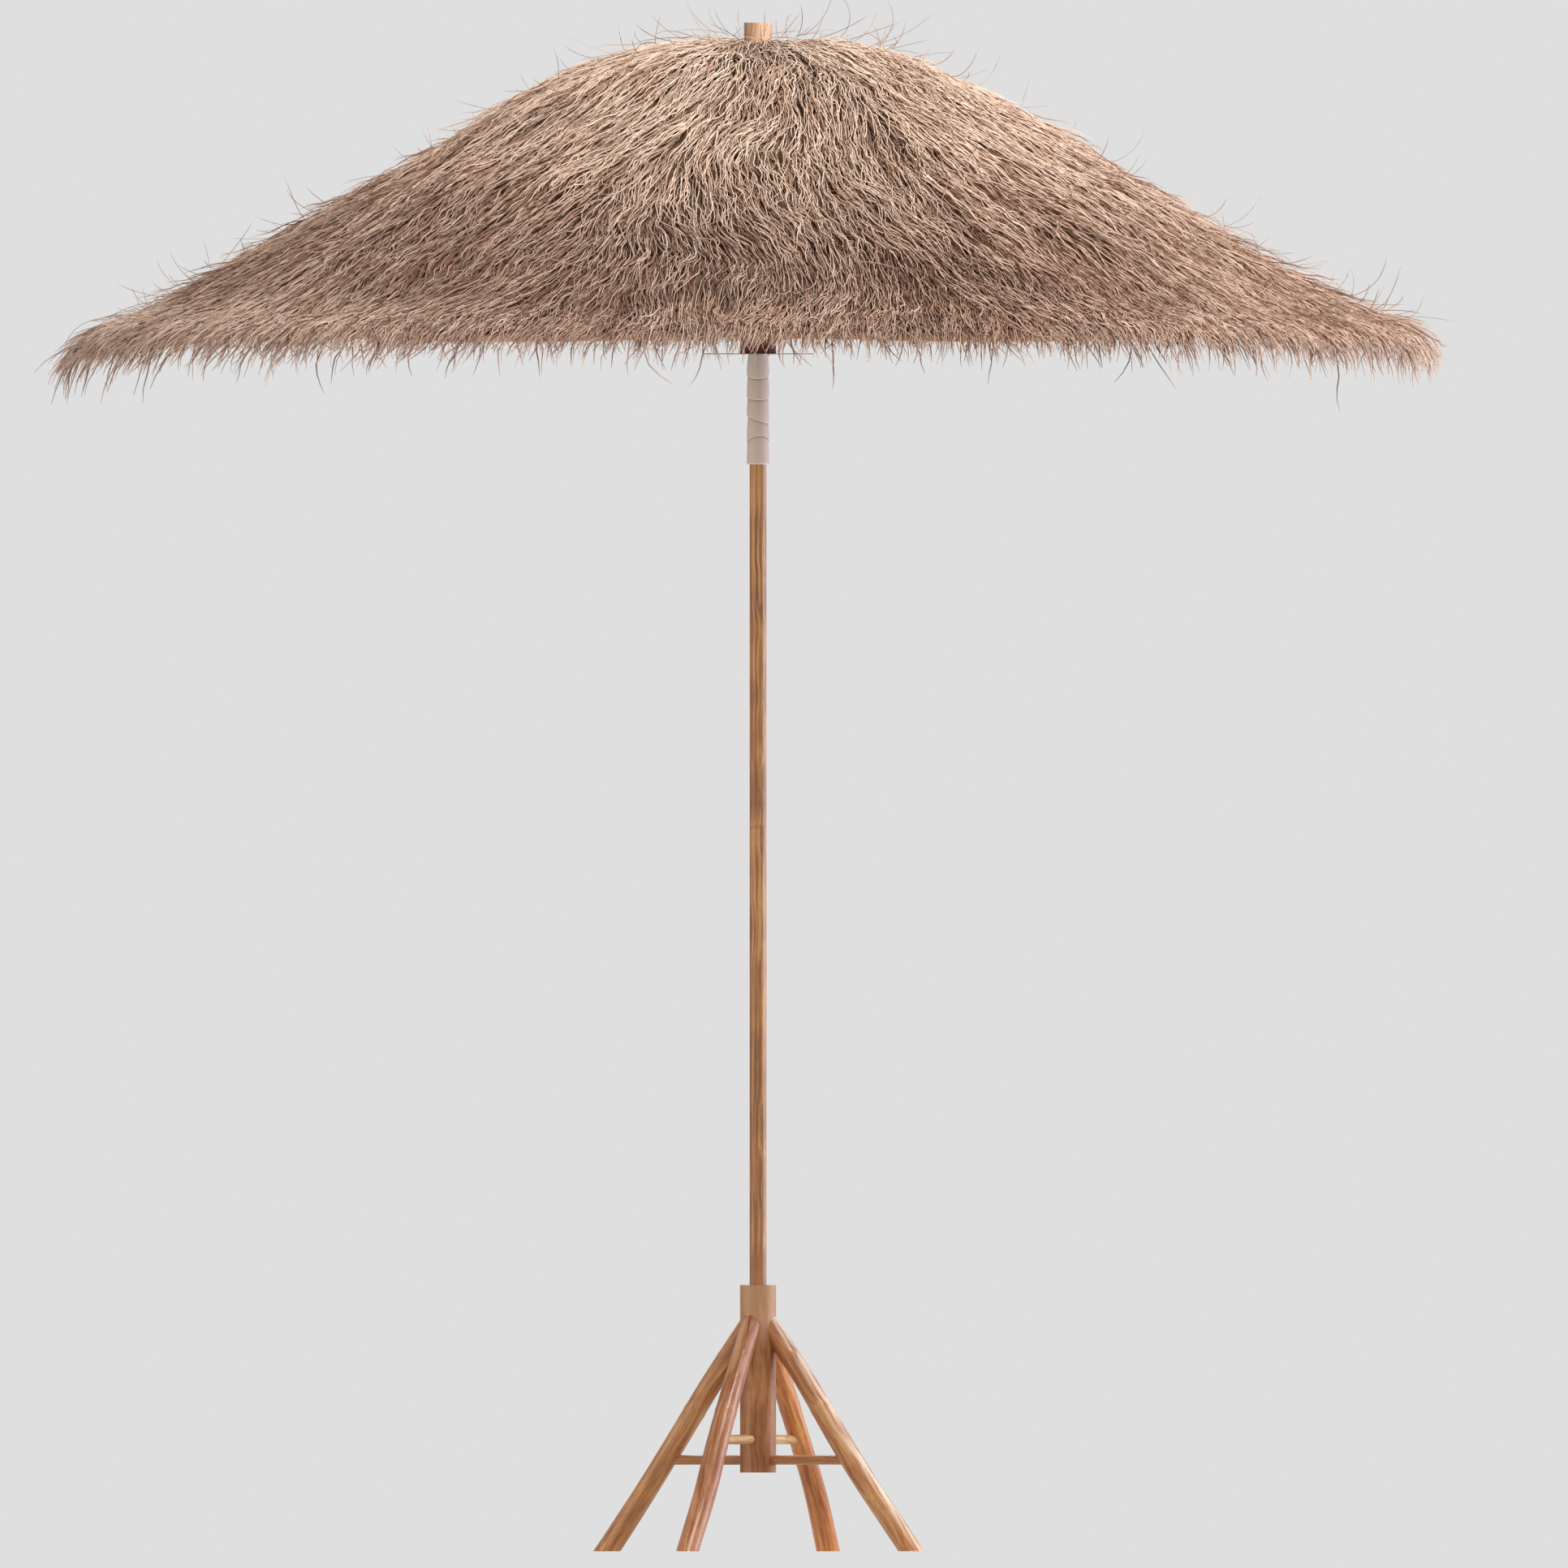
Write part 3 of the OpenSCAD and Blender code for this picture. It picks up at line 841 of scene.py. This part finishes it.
def hemMaterial(s):
    made = newMaterial("hemBinding")
    place = objectPlace(made)
    weave = groupOutputs(made, clothWeave, {"Vector": place, "Threads": s["threads"]})
    cloud = addNoise(made, place, 22.0, 5.0, 0.65)
    colour = addRamp(made, cloud, [(0.3, s["dark"]), (0.5, s["mid"]), (0.72, s["light"])])
    colour = shadeSlubs(made, weave, 0.8, colour, (0.7, 0.66, 0.62))
    return finishSurface(made, {"Base Color": colour, "Roughness": 0.8}, weave["Height"], 0.0005)


def gorePoints(line, middle, s):
    # between the ribs the cloth sags a little
    offset = np.linspace(-ribStep / 2, ribStep / 2, s["columns"])
    outward = np.clip(line[:, 0] / s["sagFull"], 0, 1)[:, None]
    fall = s["sag"] * outward * np.sin(np.abs(offset) * ribCount / 2) ** 2
    r, angle = spreadRows(line[:, 0], s["columns"]), middle + offset
    return roundAxis(r, angle, line[:, 1][:, None] - fall), r * offset


def addGore(index, s, cloth, binding):
    middle, number = index * ribStep, index + 1
    line, reach = spacedPath(np.array(s["line"]), s["rows"])
    points, across = gorePoints(line, middle, s)
    faces = gridFaces(s["rows"], s["columns"], False)
    gore = newPiece(f"canopyGore_{number}", points.reshape(-1, 3).tolist(), faces, cloth,
                    f"rib_{number}", [f"gore_{number}"])
    cut = np.stack([across, spreadRows(reach, s["columns"]), across], 2)
    addAttribute(gore, "cut", "FLOAT_VECTOR", cut)
    hem = addHem(number, s, points[-1], binding)
    for piece in (gore, hem):
        squashToRib(piece)


def addHem(number, s, edge, binding):
    # the outline of the folded binding, outward and upward of the cloth's edge
    turns = np.linspace(0, 2 * math.pi, s["hemSides"] + 1)[:-1]
    outward = edge[:, :2] / np.linalg.norm(edge[:, :2], axis=1)[:, None]
    rings = []
    for turn in turns:
        ring = edge.copy()
        ring[:, :2] += outward * (s["hemDepth"] * math.cos(turn) - 0.0005)
        ring[:, 2] += s["hemRise"] * (0.62 * math.sin(turn) - 0.12)
        rings.append(ring)
    points = np.stack(rings, 1).reshape(-1, 3).tolist()
    faces = gridFaces(s["columns"], len(rings), True)
    return newPiece(f"canopyHem_{number}", points, faces, binding, f"rib_{number}", (),
                    f"gore_{number}")


cloth, binding = canvasMaterial(canopySet["cloth"]), hemMaterial(canopySet["hem"])
for index in range(ribCount):
    addGore(index, canopySet, cloth, binding)
print("cloth is stretched")


# thatch

thatchSet = {
    "bedLine": ((0.026, 2.508), (0.150, 2.496), (0.285, 2.458), (0.427, 2.382), (0.616, 2.268),
                (0.805, 2.163), (0.994, 2.064), (1.078, 2.0310)),
    "bedGrid": {"columns": 25, "rows": 70, "lip": (1.084, 2.0275)},
    "seed": 8,
    "roof": {"count": 27000, "segments": 13, "length": (0.11, 0.23), "least": 0.05, "pastRim": (0.015, 0.070),
             "inset": 0.03, "scatter": 0.02, "heading": 0.07, "bend": 0.30, "spread": 0.003,
             "lift": (0.002, 0.020), "topShare": 0.6, "thickness": 1.0, "tone": 1.0},
    # the fringe's low tone paints the shade it hangs in
    "fringe": {"count": 4000, "segments": 10, "inset": (0.015, 0.12), "hang": (0.022, 0.080), "sideHang": 0.5,
               "leftHang": 0.18, "longShare": 0.012, "longHang": (0.035, 0.075), "heading": 0.30, "bend": 0.7,
               "spread": 0.004, "lift": (0.001, 0.012), "topShare": 0.7, "thickness": 1.25, "tone": 0.4},
    "stray": {"count": 600, "segments": 14, "topShare": 12, "topBand": (0.04, 0.28), "start": 0.018,
              "length": (0.04, 0.13), "rise": (0.1, 0.6), "bend": (0.1, 0.9), "yaw": 0.8, "curl": 0.8,
              "width": (0.00045, 0.0007), "reach": 1.195, "top": 2.612, "tone": 0.45},
    "width": (0.00090, 0.00128),
    "waves": {"broad": (6, 0.35, 0.9), "close": (12, 0.12, 0.26), "combing": (12, 0.14, 0.45),
              "relief": (10, 0.09, 0.35)},
    "swirl": {"broad": 0.13, "close": 0.10},
    "lay": {"length": (0.78, 1.12), "draw": (-0.2, 0.7), "along": 0.9, "aside": 0.62},
    "sway": {"sizes": ((0.085, 0.15), (0.045, 0.07)), "pushes": (0.0009, 0.0006), "strength": (0.3, 1.5),
             "hook": 0.0045},
    "comb": {"push": 0.0021, "wide": 0.088, "close": 0.047, "closeShare": 0.22, "drift": 2.6,
             "closeDrift": 1.8},
    "eave": {"fade": 0.5, "least": 0.45, "right": 0.92, "rightFrom": 0.45, "rightOver": 0.4},
    "height": {"root": (0.0005, 0.006), "least": 0.004, "hill": 0.003, "upper": (0.6, 1),
               "lower": (0.05, 0.5), "uneven": 0.0015, "looseShare": 0.05, "loose": (0.006, 0.026),
               "bob": 0.0016, "bobs": 19},
    "droop": {"firm": 10.5, "right": 4.5, "vary": (0.65, 1.45)},
    "courses": (("thatchTop", -1, 0.5), ("thatchMiddle", 0.5, 0.83), ("thatchEave", 0.83, 9)),
    "keep": {"bed": 0.38, "thatchTop": 0.58, "thatchMiddle": 0.38, "thatchEave": 0.33, "thatchFringe": 0.33,
             "thatchStray": 0.36},
    # root is a painted shade colour for the covered roots
    "straw": {"root": (0.20, 0.095, 0.045), "dark": (0.21, 0.098, 0.056), "mid": (0.66, 0.465, 0.345),
              # the mauve-grey eave colour is a painted shade, laid from eaveTop down to eaveLow
              "pale": (0.88, 0.71, 0.58), "eaveShade": (0.70, 0.66, 0.66), "eaveTop": 2.32, "eaveLow": 2.05},
    # the bed is painted dark to stand for the shade deep between the straws
    "bed": {"dark": (0.07, 0.036, 0.020), "mid": (0.18, 0.105, 0.065), "light": (0.30, 0.20, 0.13)},
}
goldenTurn = 2.399963


def makeRoof(line):
    path = smoothPath(line, 4)
    gaps = np.linalg.norm(np.diff(path, axis=0), axis=1)
    u = np.concatenate([[0], np.cumsum(gaps)])
    slope = np.gradient(path, u, axis=0)
    angle = np.arctan2(-slope[:, 1], slope[:, 0])
    return {"u": u, "r": path[:, 0], "z": path[:, 1], "angle": angle, "rim": u[-1]}


roof = makeRoof(thatchSet["bedLine"])


def onRoof(u, turn, lift, droop, steepest=1.42):
    # past the rim a straw bends down by droop radians for each metre, until it hangs
    inside = np.clip(u, 0, roof["rim"])
    over = np.maximum(u - roof["rim"], 0)
    r, z = np.interp(inside, roof["u"], roof["r"]), np.interp(inside, roof["u"], roof["z"])
    start = np.interp(inside, roof["u"], roof["angle"])
    curved = np.minimum(over, (steepest - start) / droop)
    angle = start + droop * curved
    r = r + (np.sin(angle) - np.sin(start)) / droop + (over - curved) * np.cos(angle)
    z = z + (np.cos(angle) - np.cos(start)) / droop - (over - curved) * np.sin(angle)
    r, z = r + lift * np.sin(angle), z + lift * np.cos(angle)
    return roundAxis(r, turn, z), roundAxis(np.sin(angle), turn, np.cos(angle))


def makeWaves(rand, count, short, long):
    waves = []
    for _ in range(count):
        size, heading = rand.uniform(short, long), rand.uniform(0, 2 * math.pi)
        push = 2 * math.pi / size
        waves.append((push * math.cos(heading), push * math.sin(heading), rand.uniform(0, 2 * math.pi)))
    return waves


def waveSum(waves, x, y):
    return sum(np.sin(a * x + b * y + p) for a, b, p in waves) / math.sqrt(len(waves) / 2)


def walkGuides(u, turn, heading, bend, length, segments, waves, swirl):
    # walks each guide down the slope, turning with the swirls
    us, turns = [u], [turn]
    step = length / segments
    for k in range(segments):
        share = k / segments
        r = np.maximum(np.interp(us[-1], roof["u"], roof["r"]), 0.05)
        x, y = r * np.cos(turns[-1]), r * np.sin(turns[-1])
        way = heading + bend * (share - 0.3)
        for name, amount in swirl.items():
            way = way + amount * waveSum(waves[name], x, y) * np.clip(r / 0.3, 0.3, 1)
        outside = np.clip((us[-1] - roof["rim"] + 0.04) / 0.05, 0, 1)
        way = way * (1 - 0.2 * outside)
        us.append(us[-1] + step * np.cos(way))
        turns.append(turns[-1] + step * np.sin(way) / r)
    return {"u": np.stack(us, 1), "turn": np.stack(turns, 1), "length": length}


def tubes(centres, normals, radii):
    # a three-sided tube round each line of centres
    ahead = np.gradient(centres, axis=1)
    ahead /= np.maximum(np.linalg.norm(ahead, axis=2), 1e-9)[..., None]
    side = np.cross(ahead, normals)
    side /= np.maximum(np.linalg.norm(side, axis=2), 1e-9)[..., None]
    over = np.cross(side, ahead)
    rings = []
    for corner in (math.pi / 2, math.pi * 7 / 6, math.pi * 11 / 6):
        rings.append(centres + radii[..., None] * (math.cos(corner) * side + math.sin(corner) * over))
    points = np.stack(rings, 2)
    count, length = centres.shape[:2]
    base = (np.arange(count)[:, None, None] * length + np.arange(length - 1)[None, :, None]) * 3
    corner, following = np.arange(3)[None, None, :], np.array([1, 2, 0])[None, None, :]
    faces = np.stack([base + corner, base + following, base + following + 3, base + corner + 3], -1)
    return points.reshape(-1, 3), faces.reshape(-1, 4)


def layStraws(rand, guide, spread, s):
    # gives each guide's straw its own length and moves it off the guide
    share = np.linspace(0, 1, guide["u"].shape[1])
    total = len(guide["u"])
    scale = rand.uniform(*s["length"], total)
    first = guide["u"][:, :1]
    us = first + (guide["u"] - first) * scale[:, None]
    pull = 1 - rand.uniform(*s["draw"], total)[:, None] * share ** 1.3
    us = us + rand.normal(0, spread * s["along"], total)[:, None] * pull
    aside = rand.normal(0, spread * s["aside"], total)[:, None] * pull
    return share, us, aside, guide["length"] * scale


def swayStraws(rand, share, length, s):
    total = len(length)
    sizes = [rand.uniform(*size, total) for size in s["sizes"]]
    sway = 0
    for size, push in zip(sizes, s["pushes"]):
        phase = rand.uniform(0, 2 * math.pi, total)[:, None]
        strength = (rand.uniform(*s["strength"], total) * push)[:, None]
        bends = (length / size * 2 * math.pi)[:, None]
        sway = sway + strength * (0.35 + 0.65 * share) * np.sin(phase + share * bends)
    return sway + rand.normal(0, s["hook"], total)[:, None] * share ** 4


def combStraws(us, x, y, combing, s):
    drift = s["drift"] * waveSum(combing, x, y)
    wide = np.sin(us * 2 * math.pi / s["wide"] + drift)
    close = np.sin(us * 2 * math.pi / s["close"] + s["closeDrift"] * drift)
    return s["push"] * (wide + s["closeShare"] * close)


def layerThickness(us, turns, s):
    # the thatch thins towards the eave, most of all on the right
    thin = np.clip((roof["rim"] - us[:, 0]) / s["fade"], s["least"], 1)
    rightSide = np.clip(np.cos(turns[:, 0]), 0, 1) ** 3
    outward = np.clip((us[:, 0] - s["rightFrom"]) / s["rightOver"], 0, 1)
    return thin * (1 - s["right"] * rightSide * outward)


def raiseStraws(rand, share, thin, hill, layer, s):
    total = len(thin)
    low = rand.uniform(*s["root"], total)
    onTop = rand.random(total) < layer["topShare"]
    level = np.where(onTop, rand.uniform(*s["upper"], total), rand.uniform(*s["lower"], total))
    flat, full = layer["lift"]
    high = (flat + (full - flat) * level) * thin + rand.normal(0, s["uneven"], total)
    rise = np.clip(share * 1.5, 0, 1) ** 0.8
    height = low[:, None] + (np.maximum(high, s["least"]) - low)[:, None] * rise + hill * rise
    isLoose = (rand.random(total) < s["looseShare"])[:, None]
    loose = isLoose * rand.uniform(*s["loose"], total)[:, None] * share ** 2
    height = np.maximum(height + loose, 0.0004)
    height = height + s["bob"] * np.sin(share * s["bobs"] + rand.uniform(0, 6, total)[:, None])
    return height, level


def strawPaths(rand, guide, layer, waves, s):
    share, us, aside, length = layStraws(rand, guide, layer["spread"], s["lay"])
    sway = aside + swayStraws(rand, share, length, s["sway"])
    r = np.maximum(np.interp(us, roof["u"], roof["r"]), 0.03)
    turns = guide["turn"] + sway / np.maximum(r, 0.06)
    x, y = r * np.cos(turns), r * np.sin(turns)
    ripple = combStraws(us, x, y, waves["combing"], s["comb"])
    turns = turns + ripple * np.clip(r / 0.2, 0.2, 1) / np.maximum(r, 0.06)
    hill = s["height"]["hill"] * waveSum(waves["relief"], x, y)
    thin = layerThickness(us, turns, s["eave"])
    height, level = raiseStraws(rand, share, thin, hill, layer, s["height"])
    return us, turns, height, level


def droopOf(rand, turns, s):
    firm = s["firm"] + s["right"] * np.cos(turns[:, :1])
    return firm * rand.uniform(*s["vary"], len(turns))[:, None]


def strawRadii(rand, total, segments, width):
    share = np.linspace(0, 1, segments + 1)
    widest = rand.uniform(*width, total)[:, None]
    taper = np.minimum(1, 0.7 + share * 2.0) * np.clip((1 - share) / 0.18, 0.14, 1) ** 0.6
    return widest * taper


def areaSpread(rand, count, low, high):
    # heights along the slope, spread evenly over the roof's area
    inside, outside = np.interp(low, roof["u"], roof["r"]), np.interp(high, roof["u"], roof["r"])
    place = (np.arange(count) + rand.random(count)) / count
    r = np.sqrt(inside ** 2 + place * (outside ** 2 - inside ** 2))
    return np.interp(r, roof["r"], roof["u"])


def finishGuides(rand, u, turn, length, layer, waves, s):
    heading = rand.normal(0, layer["heading"], len(u))
    bend = rand.normal(0, layer["bend"], len(u))
    return walkGuides(u, turn, heading, bend, length, layer["segments"], waves, s["swirl"])


def roofGuides(rand, layer, waves, s):
    count = layer["count"]
    u = areaSpread(rand, count, 0.0, roof["rim"] - layer["inset"])
    turn = (np.arange(count) * goldenTurn + rand.normal(0, layer["scatter"], count)) % (2 * math.pi)
    length = rand.uniform(*layer["length"], count)
    room = roof["rim"] + rand.uniform(*layer["pastRim"], count) - u
    length = np.maximum(np.minimum(length, room), layer["least"])
    return finishGuides(rand, u, turn, length, layer, waves, s)


def fringeGuides(rand, layer, waves, s):
    count = layer["count"]
    u = roof["rim"] - rand.uniform(*layer["inset"], count)
    turn = (np.arange(count) + rand.random(count)) / count * 2 * math.pi
    hang = rand.uniform(*layer["hang"], count)
    hang = hang * (1 + layer["sideHang"] * np.cos(turn) ** 2) * (1 - layer["leftHang"] * np.cos(turn))
    hang = hang + (rand.random(count) < layer["longShare"]) * rand.uniform(*layer["longHang"], count)
    return finishGuides(rand, u, turn, roof["rim"] - u + hang, layer, waves, s)


def strayStraws(rand, s):
    # single straws that stand off the roof and curl back
    count, segments = s["count"], s["segments"]
    atTop = count // s["topShare"]
    spread = areaSpread(rand, count - atTop, 0.02, roof["rim"])
    u = np.concatenate([spread, rand.uniform(*s["topBand"], atTop)])
    turn = rand.uniform(0, 2 * math.pi, count)
    root, normal = onRoof(u, turn, s["start"], 11.0)
    angle = np.interp(u, roof["u"], roof["angle"])
    down = roundAxis(np.cos(angle), turn, -np.sin(angle))
    side = np.cross(normal, down)
    length = rand.uniform(*s["length"], count)
    first, bend = rand.uniform(*s["rise"], count), rand.normal(*s["bend"], count)
    yaw = rand.normal(0, s["yaw"], count)
    points = [root]
    for k in range(segments):
        share = k / segments
        way, aside = (first + bend * share)[:, None], (yaw * (1 + s["curl"] * share))[:, None]
        flat = down * np.cos(aside) + side * np.sin(aside)
        points.append(points[-1] + (flat * np.cos(way) + normal * np.sin(way)) * (length / segments)[:, None])
    centres = np.stack(points, 1)
    reach = np.hypot(centres[..., 0], centres[..., 1]).max(1)
    fine = (reach < s["reach"]) & (centres[..., 2].max(1) < s["top"])
    return centres[fine], np.repeat(normal[fine][:, None], segments + 1, 1), turn[fine]


def strawMaterial(s):
    made = newMaterial("straw")
    tone = readAttribute(made, "tone")
    along = readAttribute(made, "along")
    place = objectPlace(made)
    colour = addRamp(made, tone, [(0.0, s["dark"]), (0.42, s["mid"]), (1.0, s["pale"])])
    # painted shade at the root of each straw, where the straws above cover it
    rootShade = addRange(made, along, 0.0, 0.4, 0.7, 0.0)
    colour = mixColour(made, rootShade, colour, s["root"])
    tipShare = addRange(made, along, 0.72, 1.0, 0.0, 0.5)
    colour = mixColour(made, tipShare, colour, s["pale"])
    # painted shade: the straw darkens to a mauve-grey towards the eave, in patches of a broad cloud
    eaveShadeShare = addRange(made, splitAxes(made, place)["Z"], s["eaveTop"], s["eaveLow"], 0.0, 0.8)
    cloud = addRange(made, addNoise(made, place, 4.0, 2.0), 0.3, 0.7, 0.6, 1.3)
    colour = mixColour(made, multiply(made, eaveShadeShare, cloud), colour, s["eaveShade"], "MULTIPLY")
    mottle = addNoise(made, place, 55.0, 3.0, 0.6)
    mottleTone = addRamp(made, mottle, [(0.3, (0.80, 0.76, 0.74)), (0.62, (1.0, 1.0, 1.0))])
    colour = mixColour(made, 0.8, colour, mottleTone, "MULTIPLY")
    fibre = addNoise(made, place, 1400.0, 2.0)
    sockets = {"Base Color": colour, "Roughness": 0.62, "Specular IOR Level": 0.35}
    return finishSurface(made, sockets, fibre, 0.0002)


def shadeBedMaterial(s):
    # painted shade: a dark brown bed that shows between the straws, where their depths lie in shade
    made = newMaterial("thatchShadeBed")
    place = readAttribute(made, "lie", "Vector")
    streaks = addNoise(made, addVector(made, "MULTIPLY", place, (260.0, 14.0, 1.0)), 1.0, 5.0, 0.65)
    colour = addRamp(made, streaks, [(0.35, s["dark"]), (0.55, s["mid"]), (0.75, s["light"])])
    return finishSurface(made, {"Base Color": colour, "Roughness": 0.9}, streaks, 0.004)


def addBed(index, material, s):
    columns, rows = s["bedGrid"]["columns"], s["bedGrid"]["rows"]
    line = np.vstack([np.stack([roof["r"], roof["z"]], 1), [s["bedGrid"]["lip"]]])
    path, reach = spacedPath(line, rows)
    angle = index * ribStep + np.linspace(-ribStep / 2, ribStep / 2, columns)
    r, z = spreadRows(path[:, 0], columns), spreadRows(path[:, 1], columns)
    points = roundAxis(r, angle, z).reshape(-1, 3)
    number = index + 1
    bed = newPiece(f"thatchShadeBed_{number}", points.tolist(), gridFaces(rows, columns, False), material,
                   f"rib_{number}", [f"thatch_{number}"])
    addAttribute(bed, "lie", "FLOAT_VECTOR", np.stack([r * angle, spreadRows(reach, columns), 0 * r], 2))
    squashToRib(bed)


def addStraws(label, centres, normals, radii, tone, sector, material, keep):
    length = centres.shape[1]
    along = np.repeat(np.linspace(0, 1, length), 3)
    for index in range(ribCount):
        mine = np.flatnonzero(sector == index)
        points, faces = tubes(centres[mine], normals[mine], radii[mine])
        number = index + 1
        straws = newPiece(f"{label}_{number}", points.tolist(), faces.tolist(), material,
                          f"rib_{number}", (), f"thatch_{number}")
        addAttribute(straws, "tone", "FLOAT", np.repeat(tone[mine], length * 3))
        addAttribute(straws, "along", "FLOAT", np.tile(along, len(mine)))
        squashToRib(straws)


def flankAndEaveShade(centres):
    # painted shade: the straw is darkened on the two flanks and towards the front and back eaves, where less
    # light falls
    middle = centres[:, centres.shape[1] // 2]
    x, r = middle[:, 0], np.hypot(middle[:, 0], middle[:, 1])
    left = np.clip((-x - 0.12) / 0.35, 0, 1) * (1 - 0.9 * np.clip((r - 0.93) / 0.12, 0, 1))
    right = np.clip((x - 0.15) / 0.35, 0, 1) * (1 - 0.5 * np.clip((r - 0.95) / 0.12, 0, 1))
    low = np.clip((r - 0.62) / 0.3, 0, 1) * np.clip((0.75 - np.abs(x)) / 0.4, 0, 1)
    return 0.47 * left + 0.32 * right + 0.27 * low


def toneAndDepthShade(rand, level, centres):
    # random tone for each straw, darkened for straws that lie low in the layer: painted shade of the depths
    tone = (0.1 + 0.9 * rand.beta(1.5, 1.3, len(level))) * np.clip((level - 0.05) / 0.55, 0.4, 1)
    return np.maximum(tone - flankAndEaveShade(centres), 0)


def sectorOf(turn):
    return np.round(np.mod(turn, 2 * math.pi) / ribStep).astype(int) % ribCount


def shapeLayer(rand, laid, layer, s):
    us, turns, height, level = laid
    centres, normals = onRoof(us, turns, height, droopOf(rand, turns, s["droop"]))
    radii = strawRadii(rand, len(us), layer["segments"], s["width"]) * layer["thickness"]
    tone = toneAndDepthShade(rand, level, centres) * layer["tone"]
    return [centres, normals, radii, tone, sectorOf(turns[:, 0])]


def addThatch(s):
    rand = np.random.default_rng(s["seed"])
    waves = {name: makeWaves(rand, *shape) for name, shape in s["waves"].items()}
    material, shadeBedding, keep = strawMaterial(s["straw"]), shadeBedMaterial(s["bed"]), s["keep"]
    for index in range(ribCount):
        addBed(index, shadeBedding, s)
    roofLaid = strawPaths(rand, roofGuides(rand, s["roof"], waves, s), s["roof"], waves, s)
    fringeLaid = strawPaths(rand, fringeGuides(rand, s["fringe"], waves, s), s["fringe"], waves, s)
    shaped = shapeLayer(rand, roofLaid, s["roof"], s)
    firstR = np.hypot(shaped[0][:, 0, 0], shaped[0][:, 0, 1])
    for course, low, high in s["courses"]:
        kept = (firstR >= low) & (firstR < high)
        addStraws(course, *[part[kept] for part in shaped], material, keep[course])
    addStraws("thatchFringe", *shapeLayer(rand, fringeLaid, s["fringe"], s), material, keep["thatchFringe"])
    centres, normals, turn = strayStraws(rand, s["stray"])
    radii = strawRadii(rand, len(centres), s["stray"]["segments"], s["stray"]["width"])
    tone = s["stray"]["tone"] * rand.beta(2, 2, len(centres))
    addStraws("thatchStray", centres, normals, radii, tone, sectorOf(turn), material, keep["thatchStray"])


addThatch(thatchSet)
print("thatch is laid")
